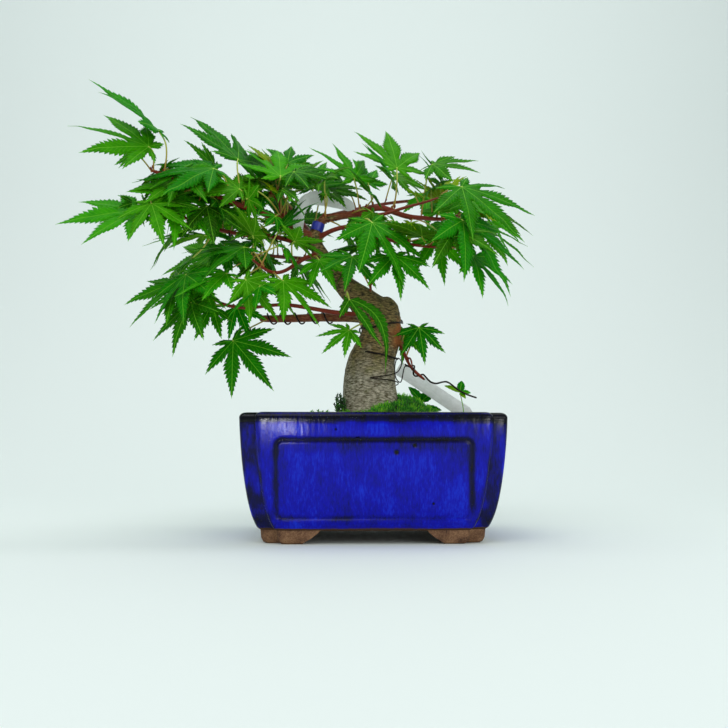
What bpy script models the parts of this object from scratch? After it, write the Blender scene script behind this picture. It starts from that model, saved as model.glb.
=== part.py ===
"""Potted maple bonsai: glazed pot, soil, moss, wood, training wires, labels and leaves.

Sizes are in millimetres in the tables below and become metres in the meshes.
The crown is set out on a front elevation drawn in perspective: at() takes a point's
place on the upright plane through the pot's middle and pushes it back along the line
from the EYE, so a branch can be moved in depth without changing the drawing.
"""
import math
from dataclasses import dataclass

import bmesh
import bpy
from mathutils import Matrix, Vector
from mathutils.bvhtree import BVHTree

for old in list(bpy.data.objects):
    bpy.data.objects.remove(old, do_unlink=True)

MM = 0.001

# ---- driving dimensions (mm) -------------------------------------------------------
POT_LENGTH = 165.0          # along X, over the rim
POT_DEPTH = 130.0           # along Y, over the rim
POT_HEIGHT = 80.0
POT_WALL = 7.0
POT_FLOOR = 7.0
FOOT_HEIGHT = 8.0
FOOT_WIDTH = 10.0           # thickness of the foot skirt
FOOT_FLARE = 4.0            # how far the foot stands in from the wall at the ground
FOOT_SPAN = 66.0            # open stretch between two feet, along X
FOOT_SPAN_SIDE = 46.0       # the same along Y
WALL_TAPER = 8.0            # how far the wall leans in from rim to foot
HEEL_ROUND = 4.0            # extra rounding at the foot of the wall
NOTCH_LONG = 10.5           # re-entrant corner, along the pot's long side
NOTCH_SHORT = 6.0           # how deep the corner steps in
CORNER_EASE = 1.4           # eased edges of the corner
PANEL_MARGIN = 22.5         # from the pot's end to the sunk panel
PANEL_SINK = 1.2
PANEL_LOW = 15.0            # bottom of the sunk panel
PANEL_DROP = 16.0           # from the rim down to the panel
RIM_ROUND = 3.5             # outer edge of the rim
RIM_EASE = 0.8              # inner edge of the rim, across
RIM_EASE_DOWN = 1.2         # the same, downwards
DRAIN_RADIUS = 9.0
DRAIN_OFFSET = 34.0         # drain holes, left and right of the middle
SCREEN_SIZE = 27.0
SCREEN_THICK = 1.0
SOIL_DROP = 6.0             # soil below the rim
MOSS_GROWTH = 1.0           # height of the moss cushions over their drawn height
FIT = 0.3                   # clearance between neighbours
ROOT_AIR = 0.5              # room round the trunk's foot in the soil and the moss
TREE_SCALE = 1.0            # the tree's size about its place in the soil
WIRE_RADIUS = 0.7
TIE_RADIUS = 0.45
TIE_SLACK = 0.4             # the tie lies looser on the bark than the training wires
LABEL_THICK = 0.5
SOIL_LABEL_WIDTH = 10.0
TAPE_THICK = 0.5
LEAF_THICK = 0.6
STALK_WIDTH = 1.1
LEAF_AIR = 0.35             # air kept round a leaf blade
DRAWN_SOIL = 74.0           # soil height that the tree's elevation was drawn for

EYE = Vector((-17.0, -499.0, 54.0))

POT_TOP = POT_HEIGHT
PANEL_HIGH = POT_TOP - PANEL_DROP
FLOOR_TOP = FOOT_HEIGHT + POT_FLOOR
SOIL_TOP = POT_HEIGHT - SOIL_DROP


# ---- placing ------------------------------------------------------------------------
def at(x: float, y: float, z: float) -> Vector:
    """Point drawn at (x, z) on the elevation, set back by y; returned in metres."""
    push = 1.0 + y / -EYE.y
    spot = Vector((EYE.x + (x - EYE.x) * push, y, EYE.z + (z - EYE.z) * push))
    return seat_tree(spot) * MM


def seat_tree(spot: Vector) -> Vector:
    """Scale about the trunk's foot and lift to the soil."""
    drawn_foot = Vector((0.0, 0.0, DRAWN_SOIL))
    foot = Vector((0.0, 0.0, SOIL_TOP))
    return foot + (spot - drawn_foot) * TREE_SCALE


def smooth_path(points: list, step: float) -> list:
    """Points about a step apart on a Catmull-Rom curve through the given ones."""
    ends = [points[0] * 2 - points[1]] + list(points) + [points[-1] * 2 - points[-2]]
    path = [points[0].copy()]
    for a, b, c, d in zip(ends, ends[1:], ends[2:], ends[3:]):
        count = max(1, round((c - b).length / step))
        for i in range(1, count + 1):
            t = i / count
            path.append(0.5 * ((2 * b) + (c - a) * t + (2 * a - 5 * b + 4 * c - d) * t * t
                               + (3 * b - a - 3 * c + d) * t ** 3))
    return path


def along(points: list, share: float) -> Vector:
    """The point at a share of a polyline's length."""
    lengths = [(b - a).length for a, b in zip(points, points[1:])]
    left = share * sum(lengths)
    for a, b, length in zip(points, points[1:], lengths):
        if left <= length:
            return a.lerp(b, left / length)
        left -= length
    return points[-1].copy()


# ---- making -------------------------------------------------------------------------
def finish(name: str, bm: bmesh.types.BMesh, substance, smooth_angle: float = 50.0):
    """Closed bmesh to a named object with outward faces."""
    bmesh.ops.recalc_face_normals(bm, faces=bm.faces[:])
    mesh = bpy.data.meshes.new(name)
    bm.to_mesh(mesh)
    bm.free()
    mesh.shade_smooth()
    mesh.set_sharp_from_angle(angle=math.radians(smooth_angle))
    piece = bpy.data.objects.new(name, mesh)
    piece.data.materials.append(substance)
    bpy.context.scene.collection.objects.link(piece)
    return piece


def extrude_through(bm: bmesh.types.BMesh, face, rings: list):
    """Extrude a face from ring to ring, each ring having the face's own corners."""
    for ring in rings:
        face = bmesh.ops.extrude_discrete_faces(bm, faces=[face])["faces"][0]
        for vertex, spot in zip(face.verts, ring):
            vertex.co = spot
    return face


def loft(rings: list) -> bmesh.types.BMesh:
    """Closed solid through rings of equal count, in metres, with flat ends."""
    bm = bmesh.new()
    start = [bm.verts.new(spot) for spot in rings[0]]
    extrude_through(bm, bm.faces.new(start), rings[1:])
    bm.faces.new(start[::-1])
    return bm


def frames(path: list) -> list:
    """Side and up directions carried along a path without twist."""
    tangent = (path[1] - path[0]).normalized()
    side = tangent.orthogonal().normalized()
    out = []
    for i, spot in enumerate(path):
        ahead = path[min(i + 1, len(path) - 1)] - path[max(i - 1, 0)]
        turn = tangent.rotation_difference(ahead.normalized())
        side = (turn @ side).normalized()
        tangent = ahead.normalized()
        out.append((spot, side, tangent.cross(side).normalized()))
    return out


def tube(path: list, radii: list, sides: int, lobes=None) -> bmesh.types.BMesh:
    """Round bar along a path; lobes(angle, index) swells its section."""
    rings = []
    for i, ((spot, side, up), radius) in enumerate(zip(frames(path), radii)):
        ring = []
        for k in range(sides):
            angle = 2 * math.pi * k / sides
            swell = lobes(angle, i) if lobes else 1.0
            arm = side * math.cos(angle) + up * math.sin(angle)
            ring.append(spot + arm * radius * swell)
        rings.append(ring)
    return loft(rings)


def tapered(path: list, start: float, end: float) -> list:
    """Radii from start to end along a path."""
    return [start + (end - start) * i / (len(path) - 1) for i in range(len(path))]


def cutter(name: str, bm: bmesh.types.BMesh):
    """A guide solid that the build leaves out."""
    piece = finish(name, bm, guide_material)
    piece.hide_render = True
    piece.display_type = "WIRE"
    return piece


def boolean(piece, operation: str, others: list) -> None:
    """Exact Boolean modifiers, one for each other solid."""
    for other in others:
        step = piece.modifiers.new(operation.lower() + "_" + other.name, "BOOLEAN")
        step.operation = operation
        step.solver = "EXACT"
        step.object = other


def evaluated_tree(piece) -> BVHTree:
    """Ray and distance tests against a piece as its modifiers leave it."""
    graph = bpy.context.evaluated_depsgraph_get()
    shaped = piece.evaluated_get(graph)
    mesh = shaped.to_mesh()
    spots = [piece.matrix_world @ v.co for v in mesh.vertices]
    faces = [tuple(p.vertices) for p in mesh.polygons]
    shaped.to_mesh_clear()
    return BVHTree.FromPolygons(spots, faces)


def material(name: str, colour: tuple, roughness: float, metallic: float = 0.0):
    """Principled material of one colour."""
    made = bpy.data.materials.new(name)
    made.use_nodes = True
    shader = made.node_tree.nodes["Principled BSDF"]
    shader.inputs["Base Color"].default_value = (*colour, 1.0)
    shader.inputs["Roughness"].default_value = roughness
    shader.inputs["Metallic"].default_value = metallic
    return made


guide_material = material("guide", (1.0, 0.5, 0.0), 1.0)


# ---- pot ----------------------------------------------------------------------------
def pot_outline(inset: float, sink: float, z: float) -> list:
    """Plan of the pot at a height, inset from the rim's rectangle, corners stepped in.

    The sink pushes the middle stretch of each side inwards for the sunk panels.
    """
    half_x = POT_LENGTH / 2 - inset
    half_y = POT_DEPTH / 2 - inset
    ease = CORNER_EASE
    quarter = [
        (half_x - NOTCH_LONG - ease, half_y),
        (half_x - NOTCH_LONG, half_y - ease),
        (half_x - NOTCH_LONG, half_y - NOTCH_SHORT + ease * 0.6),
        (half_x - NOTCH_LONG + ease * 0.6, half_y - NOTCH_SHORT),
        (half_x - ease * 1.6, half_y - NOTCH_SHORT),
        (half_x, half_y - NOTCH_SHORT - ease * 1.6),
    ]
    edge = 1.0
    panel_x = min(POT_LENGTH / 2 - PANEL_MARGIN, quarter[0][0] - edge)
    panel_y = min(POT_DEPTH / 2 - PANEL_MARGIN, quarter[-1][1] - edge)
    long_side = [(-panel_x, 0.0), (-panel_x + edge, sink), (panel_x - edge, sink), (panel_x, 0.0)]
    short_side = [(panel_y, 0.0), (panel_y - edge, sink), (-panel_y + edge, sink), (-panel_y, 0.0)]
    plan = [(x, half_y - depth) for x, depth in long_side]
    plan += quarter
    plan += [(half_x - depth, y) for y, depth in short_side]
    plan += [(x, -y) for x, y in reversed(quarter)]
    plan += [(-x, -half_y + depth) for x, depth in long_side]
    plan += [(-x, -y) for x, y in quarter]
    plan += [(-half_x + depth, -y) for y, depth in short_side]
    plan += [(-x, y) for x, y in reversed(quarter)]
    return [Vector((x, y, z)) * MM for x, y in plan]


def wall_inset(z: float) -> float:
    """How far the outer wall stands in from the rim at a height."""
    rise = (z - FOOT_HEIGHT) / (POT_HEIGHT - FOOT_HEIGHT)
    fall = max(0.0, 1.0 - rise)
    return WALL_TAPER * fall ** 1.6 + HEEL_ROUND * fall ** 8


def inner_inset(z: float) -> float:
    """Inset of the inside of the wall at a height."""
    return wall_inset(z) + POT_WALL


def pot_body() -> bmesh.types.BMesh:
    """Walls, rim and floor: up the outside, over the rim and down the inside."""
    low, high = PANEL_LOW, PANEL_HIGH
    outside = [FOOT_HEIGHT, FOOT_HEIGHT + 2.5, low - 1.5]
    levels = [(z, 0.0) for z in outside] + [(low, 0.0), (low + 1.2, PANEL_SINK)]
    middle = [low + (high - low) * share for share in (0.18, 0.4, 0.65)]
    levels += [(z, PANEL_SINK) for z in middle] + [(high - 1.2, PANEL_SINK), (high, 0.0)]
    rings = [pot_outline(wall_inset(z), sink, z) for z, sink in levels]
    rings.append(pot_outline(0.0, 0.0, POT_TOP - RIM_ROUND))
    for turn in (30.0, 60.0, 90.0):
        out = RIM_ROUND * (1 - math.cos(math.radians(turn)))
        up = RIM_ROUND * (1 - math.sin(math.radians(turn)))
        rings.append(pot_outline(out, 0.0, POT_TOP - up))
    rings.append(pot_outline(POT_WALL, 0.0, POT_TOP))
    rings.append(pot_outline(POT_WALL + RIM_EASE, 0.0, POT_TOP - RIM_EASE_DOWN))
    for z in (SOIL_TOP, (SOIL_TOP + FLOOR_TOP) / 2, FLOOR_TOP + 6.0, FLOOR_TOP):
        rings.append(pot_outline(inner_inset(z) + RIM_EASE, 0.0, z))
    return loft(rings)


def foot_skirt() -> bmesh.types.BMesh:
    """Solid block under the pot, cut into four feet afterwards."""
    base = wall_inset(FOOT_HEIGHT)
    steps = ((0.0, FOOT_FLARE), (1.0, 2.4), (3.5, 1.2), (FOOT_HEIGHT + 1.0, 0.5))
    return loft([pot_outline(base + extra, 0.0, z) for z, extra in steps])


def foot_gap(span: float, reach: float, turned: bool) -> bmesh.types.BMesh:
    """Bracket-shaped opening between two feet, as a bar right through."""
    half = span / 2
    top = FOOT_HEIGHT + 0.2
    arch = [(-half - 12, -1.0), (-half - 9, 1.2), (-half - 5, 3.6), (-half - 1, 6.8), (-half + 2, top)]
    arch += [(-x, z) for x, z in reversed(arch)]
    rings = []
    for end in (-reach, reach):
        ring = [Vector((end, x, z) if turned else (x, end, z)) * MM for x, z in arch]
        rings.append(ring)
    return loft(rings)


def cylinder(radius: float, x: float, y: float, low: float, high: float, sides: int):
    """Upright round bar."""
    bm = bmesh.new()
    place = Matrix.Translation(Vector((x, y, (low + high) / 2)) * MM)
    bmesh.ops.create_cone(bm, cap_ends=True, segments=sides, radius1=radius * MM,
                          radius2=radius * MM, depth=(high - low) * MM, matrix=place)
    return bm


def make_pot():
    """Rectangular pot with stepped corners, sunk panels, four feet and two drain holes."""
    glaze = material("cobalt_glaze", (0.005, 0.01, 0.26), 0.12)
    pot = finish("pot", pot_body(), glaze, 40.0)
    feet = cutter("pot_feet_blank", foot_skirt())
    base = wall_inset(FOOT_HEIGHT) + FOOT_FLARE + FOOT_WIDTH
    hollow = [pot_outline(base, 0.0, z) for z in (-1.0, FOOT_HEIGHT + 0.2)]
    cuts = [
        cutter("pot_foot_hollow", loft(hollow)),
        cutter("pot_gap_front", foot_gap(FOOT_SPAN, POT_DEPTH, False)),
        cutter("pot_gap_side", foot_gap(FOOT_SPAN_SIDE, POT_LENGTH, True)),
    ]
    boolean(feet, "DIFFERENCE", cuts)
    boolean(pot, "UNION", [feet])
    for side in (-1, 1):
        hole = cylinder(DRAIN_RADIUS, side * DRAIN_OFFSET, 0.0, FOOT_HEIGHT - 3, FLOOR_TOP + 3, 20)
        boolean(pot, "DIFFERENCE", [cutter(f"pot_drain_{side}", hole)])
    return pot


def make_screens() -> list:
    """Plastic net over each drain hole."""
    net = material("net_plastic", (0.03, 0.03, 0.03), 0.6)
    screens = []
    for name, side in (("drain_screen_left", -1), ("drain_screen_right", 1)):
        bm = bmesh.new()
        cells = 7
        place = Matrix.Translation(Vector((side * DRAIN_OFFSET, 0.0, FLOOR_TOP + FIT)) * MM)
        bmesh.ops.create_grid(bm, x_segments=cells, y_segments=cells,
                              size=SCREEN_SIZE / 2 * MM, matrix=place)
        holes = []
        for face in bm.faces:
            centre = (face.calc_center_median() - place.translation) / MM
            column = round(centre.x / (SCREEN_SIZE / cells) + (cells - 1) / 2)
            row = round(centre.y / (SCREEN_SIZE / cells) + (cells - 1) / 2)
            if column % 2 == 1 and row % 2 == 1:
                holes.append(face)
        bmesh.ops.delete(bm, geom=holes, context="FACES")
        top = bmesh.ops.extrude_face_region(bm, geom=bm.faces[:])["geom"]
        moved = [item for item in top if isinstance(item, bmesh.types.BMVert)]
        bmesh.ops.translate(bm, verts=moved, vec=Vector((0, 0, SCREEN_THICK)) * MM)
        screens.append(finish(name, bm, net))
    return screens


# ---- wood: centre lines on the elevation, (x, depth, z) ----------------------------
TRUNK = (
    # x, depth, z, radius
    (2, 0, 46, 13), (1, 0, 56, 19), (1, 0, 68, 23), (1, 0, 79, 22), (0, 0, 90, 19.8),
    (-0.5, 0, 100, 18.6), (-0.5, 0, 110, 18), (0, 0, 118, 17), (2.5, 0, 125, 15.6),
    (5, 0, 131, 14.6), (7.5, 0, 138, 14.2), (7, 1, 146, 14.4), (3, 1, 153.5, 13.2),
    (-4, 0, 160.5, 11), (-12, -1, 167, 8.8), (-19, -2, 173.5, 7.4), (-26, -3, 181.5, 6.6),
    (-32, -4, 190, 6.2), (-37, -5, 198, 5.2), (-39.5, -5, 206, 4.1), (-39, -5, 213, 3.6),
    (-36.5, -5, 219, 3.4), (-32, -5, 223, 3.0),
)
KNUCKLE = (
    (8, 1, 142, 11), (11, 2, 151, 11), (11, 2, 157, 9.4), (10.5, 2, 161.5, 7), (10, 2, 164.5, 3),
)
BRANCHES = {
    "right": ((-34, -5, 222), (-21, -6, 224), (-14, -7, 225), (-3, -8, 229), (8, -6, 231),
              (15, -3, 228), (25, 2, 224), (38, 6, 223), (51, 10, 222), (63, 14, 225)),
    "right_front": ((-12, -7, 225), (0, -12, 224), (15, -17, 227), (25, -21, 231),
                    (38, -26, 234), (51, -31, 239)),
    "right_low": ((-38, -5, 207), (-32, -9, 211), (-26, -12, 214), (-15, -17, 217),
                  (-8, -20, 214), (4, -25, 209), (15, -29, 206), (25, -32, 204),
                  (37, -35, 202), (57, -38, 201)),
    "right_back": ((-31, -5, 223), (-22, 14, 226), (-5, 34, 230), (15, 50, 234),
                   (38, 62, 236), (60, 68, 233)),
    "left_high": ((-39, -5, 206), (-47, -7, 211.5), (-58, -9, 218), (-75, -12, 225),
                  (-88, -15, 229), (-101, -18, 234), (-113, -21, 239), (-128, -26, 245),
                  (-144, -31, 252), (-158, -35, 257)),
    "left_back": ((-39, -4, 208), (-44, 14, 213), (-55, 32, 226), (-64, 46, 240), (-68, 56, 250)),
    "sprig_a": ((-63, -10, 221), (-65, -8, 230), (-67, -6, 245)),
    "sprig_b": ((-58, -9, 219), (-63, -3, 230), (-72, 2, 241)),
    "left_mid": ((-37, -4, 199), (-50, -2, 203), (-61, 0, 207), (-73, 2, 209), (-87, 2, 209),
                 (-108, -6, 213), (-130, -18, 221), (-155, -28, 229)),
    "left_fork": ((-36, -6, 196), (-44, -12, 194), (-50, -16, 191), (-56, -19, 186),
                  (-65, -22, 181), (-73, -24, 183), (-87, -27, 194)),
    "left_low": ((0, 4, 150), (-15, 8, 150), (-36, 12, 150), (-57, 15, 149), (-78, 18, 149)),
    "left_twig": ((-4, -4, 152), (-14, -8, 152.5), (-28, -10, 154), (-51, -12, 158),
                  (-65, -13, 159), (-80, -13, 157), (-92, -13, 156), (-103, -14, 159),
                  (-117, -16, 165), (-129, -18, 169)),
    "back_low": ((-30, -3, 189), (-45, 20, 192), (-70, 38, 194), (-95, 52, 196), (-115, 60, 197)),
    "short_shoot": ((-2, -4, 160), (0, -8, 166), (0, -10, 173)),
    "base_shoot": ((14, -2, 139), (20, -4, 134), (27, -7, 116), (38, -9, 106)),
    "bud": ((25, -6, 120), (28, -9, 122), (29, -11, 116)),
}
GIRTH = {
    # radius at the root and at the tip
    "right": (3.1, 1.1), "right_front": (1.8, 0.9), "right_low": (2.1, 0.9),
    "right_back": (2.2, 1.0), "left_high": (3.0, 1.2), "left_back": (2.2, 1.0),
    "sprig_a": (1.1, 0.8), "sprig_b": (1.1, 0.8), "left_mid": (2.4, 1.0),
    "left_fork": (2.0, 1.0), "left_low": (3.8, 2.8), "left_twig": (2.1, 0.9),
    "back_low": (2.2, 1.0), "short_shoot": (1.4, 1.0), "base_shoot": (1.6, 1.1),
    "bud": (0.8, 0.7),
}
BRANCH_STEP = 9.0
TRUNK_SIDES = 18


def trunk_section(angle: float, index: int) -> float:
    """Root flare below, slight fluting above."""
    flare = max(0.0, 1.0 - index / 6.0)
    return 1.0 + 0.10 * flare * math.cos(5 * angle + 0.6) + 0.025 * math.cos(3 * angle + index)


def trunk_line() -> tuple:
    """Trunk centre line and radii in metres."""
    path = [at(x, y, z) for x, y, z, radius in TRUNK]
    radii = [radius * MM * TREE_SCALE for *spot, radius in TRUNK]
    return path, radii


def branch_line(name: str) -> list:
    """Smooth centre line of one branch in metres."""
    points = [at(*spot) for spot in BRANCHES[name]]
    return smooth_path(points, BRANCH_STEP * MM)


def make_wood():
    """Trunk, knuckle and all branches joined into one piece of wood."""
    bark = material("maple_bark", (0.20, 0.13, 0.07), 0.85)
    path, radii = trunk_line()
    wood = finish("tree_wood", tube(path, radii, TRUNK_SIDES, trunk_section), bark)
    knuckle_path = [at(x, y, z) for x, y, z, radius in KNUCKLE]
    knuckle_radii = [radius * MM * TREE_SCALE for *spot, radius in KNUCKLE]
    limbs = [cutter("wood_knuckle", tube(knuckle_path, knuckle_radii, 14))]
    for name in BRANCHES:
        line = branch_line(name)
        thick, thin = GIRTH[name]
        sides = 8 if thick > 2.5 else 6
        limb = tube(line, tapered(line, thick * MM * TREE_SCALE, thin * MM * TREE_SCALE), sides)
        limbs.append(cutter("wood_" + name, limb))
    boolean(wood, "UNION", limbs)
    return wood


# ---- soil and moss ------------------------------------------------------------------
def trunk_plug(extra: float, name: str):
    """The trunk's foot, grown by a clearance, as a cutter."""
    path, radii = trunk_line()
    foot = [(spot, radius) for spot, radius in zip(path, radii) if spot.z < (SOIL_TOP + 60) * MM]
    low = foot[0][0] - Vector((0, 0, extra * 2 * MM))
    spots = [low] + [spot for spot, radius in foot[1:]]
    grown = [radius + extra * MM * 1.3 for spot, radius in foot]
    shape = tube(spots, grown, TRUNK_SIDES, trunk_section)
    return cutter(name, shape)


def label_blank() -> bmesh.types.BMesh:
    """Flat strip that leans from the tie down to the inside of the rim."""
    lip = POT_LENGTH / 2 - POT_WALL - RIM_EASE
    foot = Vector((lip - 2 * FIT, 6.0, POT_TOP - 1.5)) * MM
    head = at(19, 15, 114.5)
    run = (head - foot).normalized()
    upward = Vector((0.0, -0.25, 1.0))
    across = (upward - run * run.dot(upward)).normalized()
    out = run.cross(across).normalized()
    half = SOIL_LABEL_WIDTH / 2 * MM
    shoulder = foot + run * 8 * MM
    corners = [foot + across * half * 0.2, shoulder + across * half, head + across * half,
               head - across * half, shoulder - across * half, foot - across * half * 0.2]
    return loft([[c + out * side * LABEL_THICK / 2 * MM for c in corners] for side in (-1, 1)])


def make_soil():
    """Soil block that fills the pot, with room for the trunk's foot and the label."""
    grit = material("akadama_soil", (0.09, 0.05, 0.025), 0.95)
    bottom = FLOOR_TOP + SCREEN_THICK + 2 * FIT
    levels = (bottom, FLOOR_TOP + 6.0, (SOIL_TOP + FLOOR_TOP) / 2, SOIL_TOP - 2.0)
    rings = [pot_outline(inner_inset(z) + RIM_EASE + FIT, 0.0, z) for z in levels]
    rings.append(pot_outline(inner_inset(SOIL_TOP) + 6.0, 0.0, SOIL_TOP))
    soil = finish("soil", loft(rings), grit)
    boolean(soil, "DIFFERENCE", [trunk_plug(ROOT_AIR, "soil_trunk_room")])
    return soil


def moss_height(x: float, y: float) -> float:
    """Height of the moss cushion over the soil, in mm: swells of different width."""
    swells = ((24, -6, 17, 16.0), (8, -22, 18, 7.5), (-20, -6, 12, 7.0), (44, 0, 12, 5.0),
              (4, 22, 20, 7.0), (-24, -20, 9, 3.0))
    height = 1.5
    for cx, cy, spread, rise in swells:
        height += rise * math.exp(-((x - cx) ** 2 + (y - cy) ** 2) / (2 * (spread * 0.62) ** 2))
    return height * MOSS_GROWTH


def make_moss():
    """Cushion of moss round the trunk."""
    green = material("moss", (0.07, 0.22, 0.02), 0.95)
    spokes = 32
    inner, outer = 1.5, 1.0
    bm = bmesh.new()
    top, low = [], []
    for k in range(spokes):
        angle = 2 * math.pi * k / spokes
        reach_x = 50 if math.cos(angle) > 0 else 32
        reach = 1 / math.hypot(math.cos(angle) / reach_x, math.sin(angle) / 34)
        reach *= 1 + 0.07 * math.sin(3 * angle + 1) + 0.05 * math.sin(7 * angle)
        top_row, low_row = [], []
        for step in range(5):
            radius = inner + (reach - outer - inner) * step / 4
            x = 1 + radius * math.cos(angle)
            y = radius * math.sin(angle)
            edge = 0.35 if step == 4 else 1.0
            height = moss_height(x, y) * edge
            top_row.append(bm.verts.new(Vector((x, y, SOIL_TOP + FIT + height)) * MM))
            low_row.append(bm.verts.new(Vector((x, y, SOIL_TOP + FIT)) * MM))
        top.append(top_row)
        low.append(low_row)
    for k in range(spokes):
        a, b = k, (k + 1) % spokes
        for step in range(4):
            bm.faces.new((top[a][step], top[a][step + 1], top[b][step + 1], top[b][step]))
            bm.faces.new((low[a][step], low[b][step], low[b][step + 1], low[a][step + 1]))
        bm.faces.new((top[a][0], top[b][0], low[b][0], low[a][0]))
        bm.faces.new((top[a][4], low[a][4], low[b][4], top[b][4]))
    moss = finish("moss", bm, green)
    boolean(moss, "DIFFERENCE", [trunk_plug(ROOT_AIR, "moss_trunk_room")])
    return moss


# ---- labels, tape and wires ---------------------------------------------------------
def make_soil_label():
    """Blank plastic name strip between the tie and the rim."""
    film = material("label_plastic", (0.78, 0.80, 0.80), 0.4)
    return finish("soil_label", label_blank(), film, 30.0)


LOOP_LABEL = (
    # centre (x, depth, z), then half width as a direction (x, y, z)
    ((-11, 4, 230), (0.5, 3.6, -3.4)), ((-20, 2, 234), (0.6, 4.2, -4.2)),
    ((-30, 0, 236.5), (0.4, 4.2, -4.6)), ((-40, -2, 237.5), (0.6, 4.0, -4.2)),
    ((-46, -7, 235.5), (3.2, 3.0, -2.6)), ((-49.5, -12, 231), (3.9, 1.2, -1.4)),
    ((-51.5, -15, 224.5), (4.0, 0.0, -0.6)), ((-52, -15, 217), (3.7, 0, -1.4)),
    ((-51.5, -9.5, 208.3), (3.6, 0, -1.8)), ((-51.5, -2.0, 209.3), (3.6, 0, -1.8)),
    ((-51.5, 0.5, 218), (3.6, 0, -1.6)), ((-50.5, -1, 225.5), (3.8, 0.6, -0.6)),
)


def make_branch_label():
    """Blank plastic strip looped round a branch, its head curling to the right."""
    film = material("label_film", (0.74, 0.76, 0.76), 0.4)
    spots = [at(*centre) for centre, half in LOOP_LABEL]
    halves = [Vector(half) * MM for centre, half in LOOP_LABEL]
    rings = []
    for i, (spot, half) in enumerate(zip(spots, halves)):
        run = spots[min(i + 1, len(spots) - 1)] - spots[max(i - 1, 0)]
        out = run.cross(half).normalized() * LABEL_THICK / 2 * MM
        rings.append([spot + half + out, spot - half + out, spot - half - out, spot + half - out])
    return finish("branch_label", loft(rings), film, 30.0)


def make_tape(wood_tree: BVHTree):
    """Band of plastic tape wrapped round the top of the trunk."""
    blue = material("tape_vinyl", (0.01, 0.02, 0.35), 0.35)
    path, radii = trunk_line()
    low, high = at(-39.2, -5, 212.2), at(-37.2, -5, 218.6)
    axis = (high - low).normalized()
    side = axis.orthogonal().normalized()
    up = axis.cross(side)
    sides = 16
    inner_low, inner_high, outer_low, outer_high = [], [], [], []
    for k in range(sides):
        angle = 2 * math.pi * k / sides
        arm = side * math.cos(angle) + up * math.sin(angle)
        girths = [wood_tree.ray_cast(c, arm, 12 * MM)[3] or 3 * MM for c in (low, high)]
        tight = max(girths) + FIT * 1.5 * MM
        for base, inner, outer in ((low, inner_low, outer_low), (high, inner_high, outer_high)):
            inner.append(base + arm * tight)
            outer.append(base + arm * (tight + TAPE_THICK * MM))
    bm = bmesh.new()
    bands = (inner_low, outer_low, outer_high, inner_high)
    rows = [[bm.verts.new(spot) for spot in band] for band in bands]
    for row, other in zip(rows, rows[1:] + rows[:1]):
        for k in range(sides):
            m = (k + 1) % sides
            bm.faces.new((row[k], row[m], other[m], other[k]))
    return finish("tape_band", bm, blue)


def coil(line: list, wood_tree: BVHTree, start: float, end: float, turns: float,
         phase: float, radius: float, per_turn: int = 9) -> list:
    """Helix that lies on the bark between two shares of a branch's length."""
    steps = round(abs(turns) * per_turn)
    spots = []
    frame_line = [along(line, start + (end - start) * i / steps) for i in range(steps + 1)]
    for i, (centre, side, up) in enumerate(frames(frame_line)):
        angle = phase + 2 * math.pi * turns * i / steps
        arm = side * math.cos(angle) + up * math.sin(angle)
        bark = wood_tree.ray_cast(centre, arm, 30 * MM)[3] or 2 * MM
        spots.append(centre + arm * (bark * 1.03 + (radius * 1.18 + FIT * 1.4) * MM))
    return spots


def wire(name: str, points: list, radius: float, substance):
    """Round wire through the points, as a bevelled curve with filled ends."""
    curve = bpy.data.curves.new(name, "CURVE")
    curve.dimensions = "3D"
    curve.bevel_depth = radius * MM
    curve.bevel_resolution = 1
    curve.render_resolution_u = 0
    curve.use_fill_caps = True
    spline = curve.splines.new("POLY")
    spline.points.add(len(points) - 1)
    for knot, spot in zip(spline.points, points):
        knot.co = (*spot, 1.0)
    piece = bpy.data.objects.new(name, curve)
    piece.data.materials.append(substance)
    bpy.context.scene.collection.objects.link(piece)
    return piece


def make_wires(wood_tree: BVHTree) -> list:
    """Training wires on two limbs and the basal shoot, and the tie at the trunk's foot."""
    dark = material("annealed_wire", (0.02, 0.016, 0.014), 0.45, 0.8)
    trunk_path, trunk_radii = trunk_line()
    mid = coil(branch_line("left_mid"), wood_tree, 0.20, 0.56, 5.0, 0.5, WIRE_RADIUS)
    low = coil(branch_line("left_low"), wood_tree, 0.30, 0.93, 5.0, 2.0, WIRE_RADIUS)
    shoot = coil(branch_line("base_shoot"), wood_tree, 0.60, 0.93, 1.5, 1.0, WIRE_RADIUS)
    tail = [at(*spot) for spot in (
        (42, -12, 104.2), (46, -12, 103.2), (53, -12, 105), (61, -12, 99), (68, -12, 95.5),
        (74, -12, 93.5))]
    shoot_path = shoot + smooth_path([shoot[-1]] + tail, 3.5 * MM)[1:]
    band = coil(trunk_path, wood_tree, 0.385, 0.52, 1.4, 3.6, WIRE_RADIUS, 20)
    tie_arc = coil(trunk_path, wood_tree, 0.285, 0.30, -0.42, 6.48, TIE_RADIUS + TIE_SLACK, 26)
    tie_free = [at(*spot) for spot in (
        (15.5, -17, 110), (20, -15, 113), (22, -13, 119), (19, -14, 122), (16.8, -17, 116),
        (17.5, -19, 107), (21, -17, 104), (22.5, -15, 110), (24, -13, 116), (29, -12, 114))]
    tie_path = tie_arc + smooth_path([tie_arc[-1]] + tie_free, 3.0 * MM)[1:]
    return [
        wire("wire_left_mid", mid, WIRE_RADIUS, dark),
        wire("wire_left_low", low, WIRE_RADIUS, dark),
        wire("wire_base_shoot", shoot_path, WIRE_RADIUS, dark),
        wire("wire_trunk", band, WIRE_RADIUS, dark),
        wire("tie_wire", tie_path, TIE_RADIUS, dark),
    ]


# ---- leaves -------------------------------------------------------------------------
@dataclass
class Leaf:
    """One leaf: where its stalk leaves the wood and three points of its blade."""
    branch: str
    share: float
    joint: tuple
    tip: tuple
    side: tuple


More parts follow.
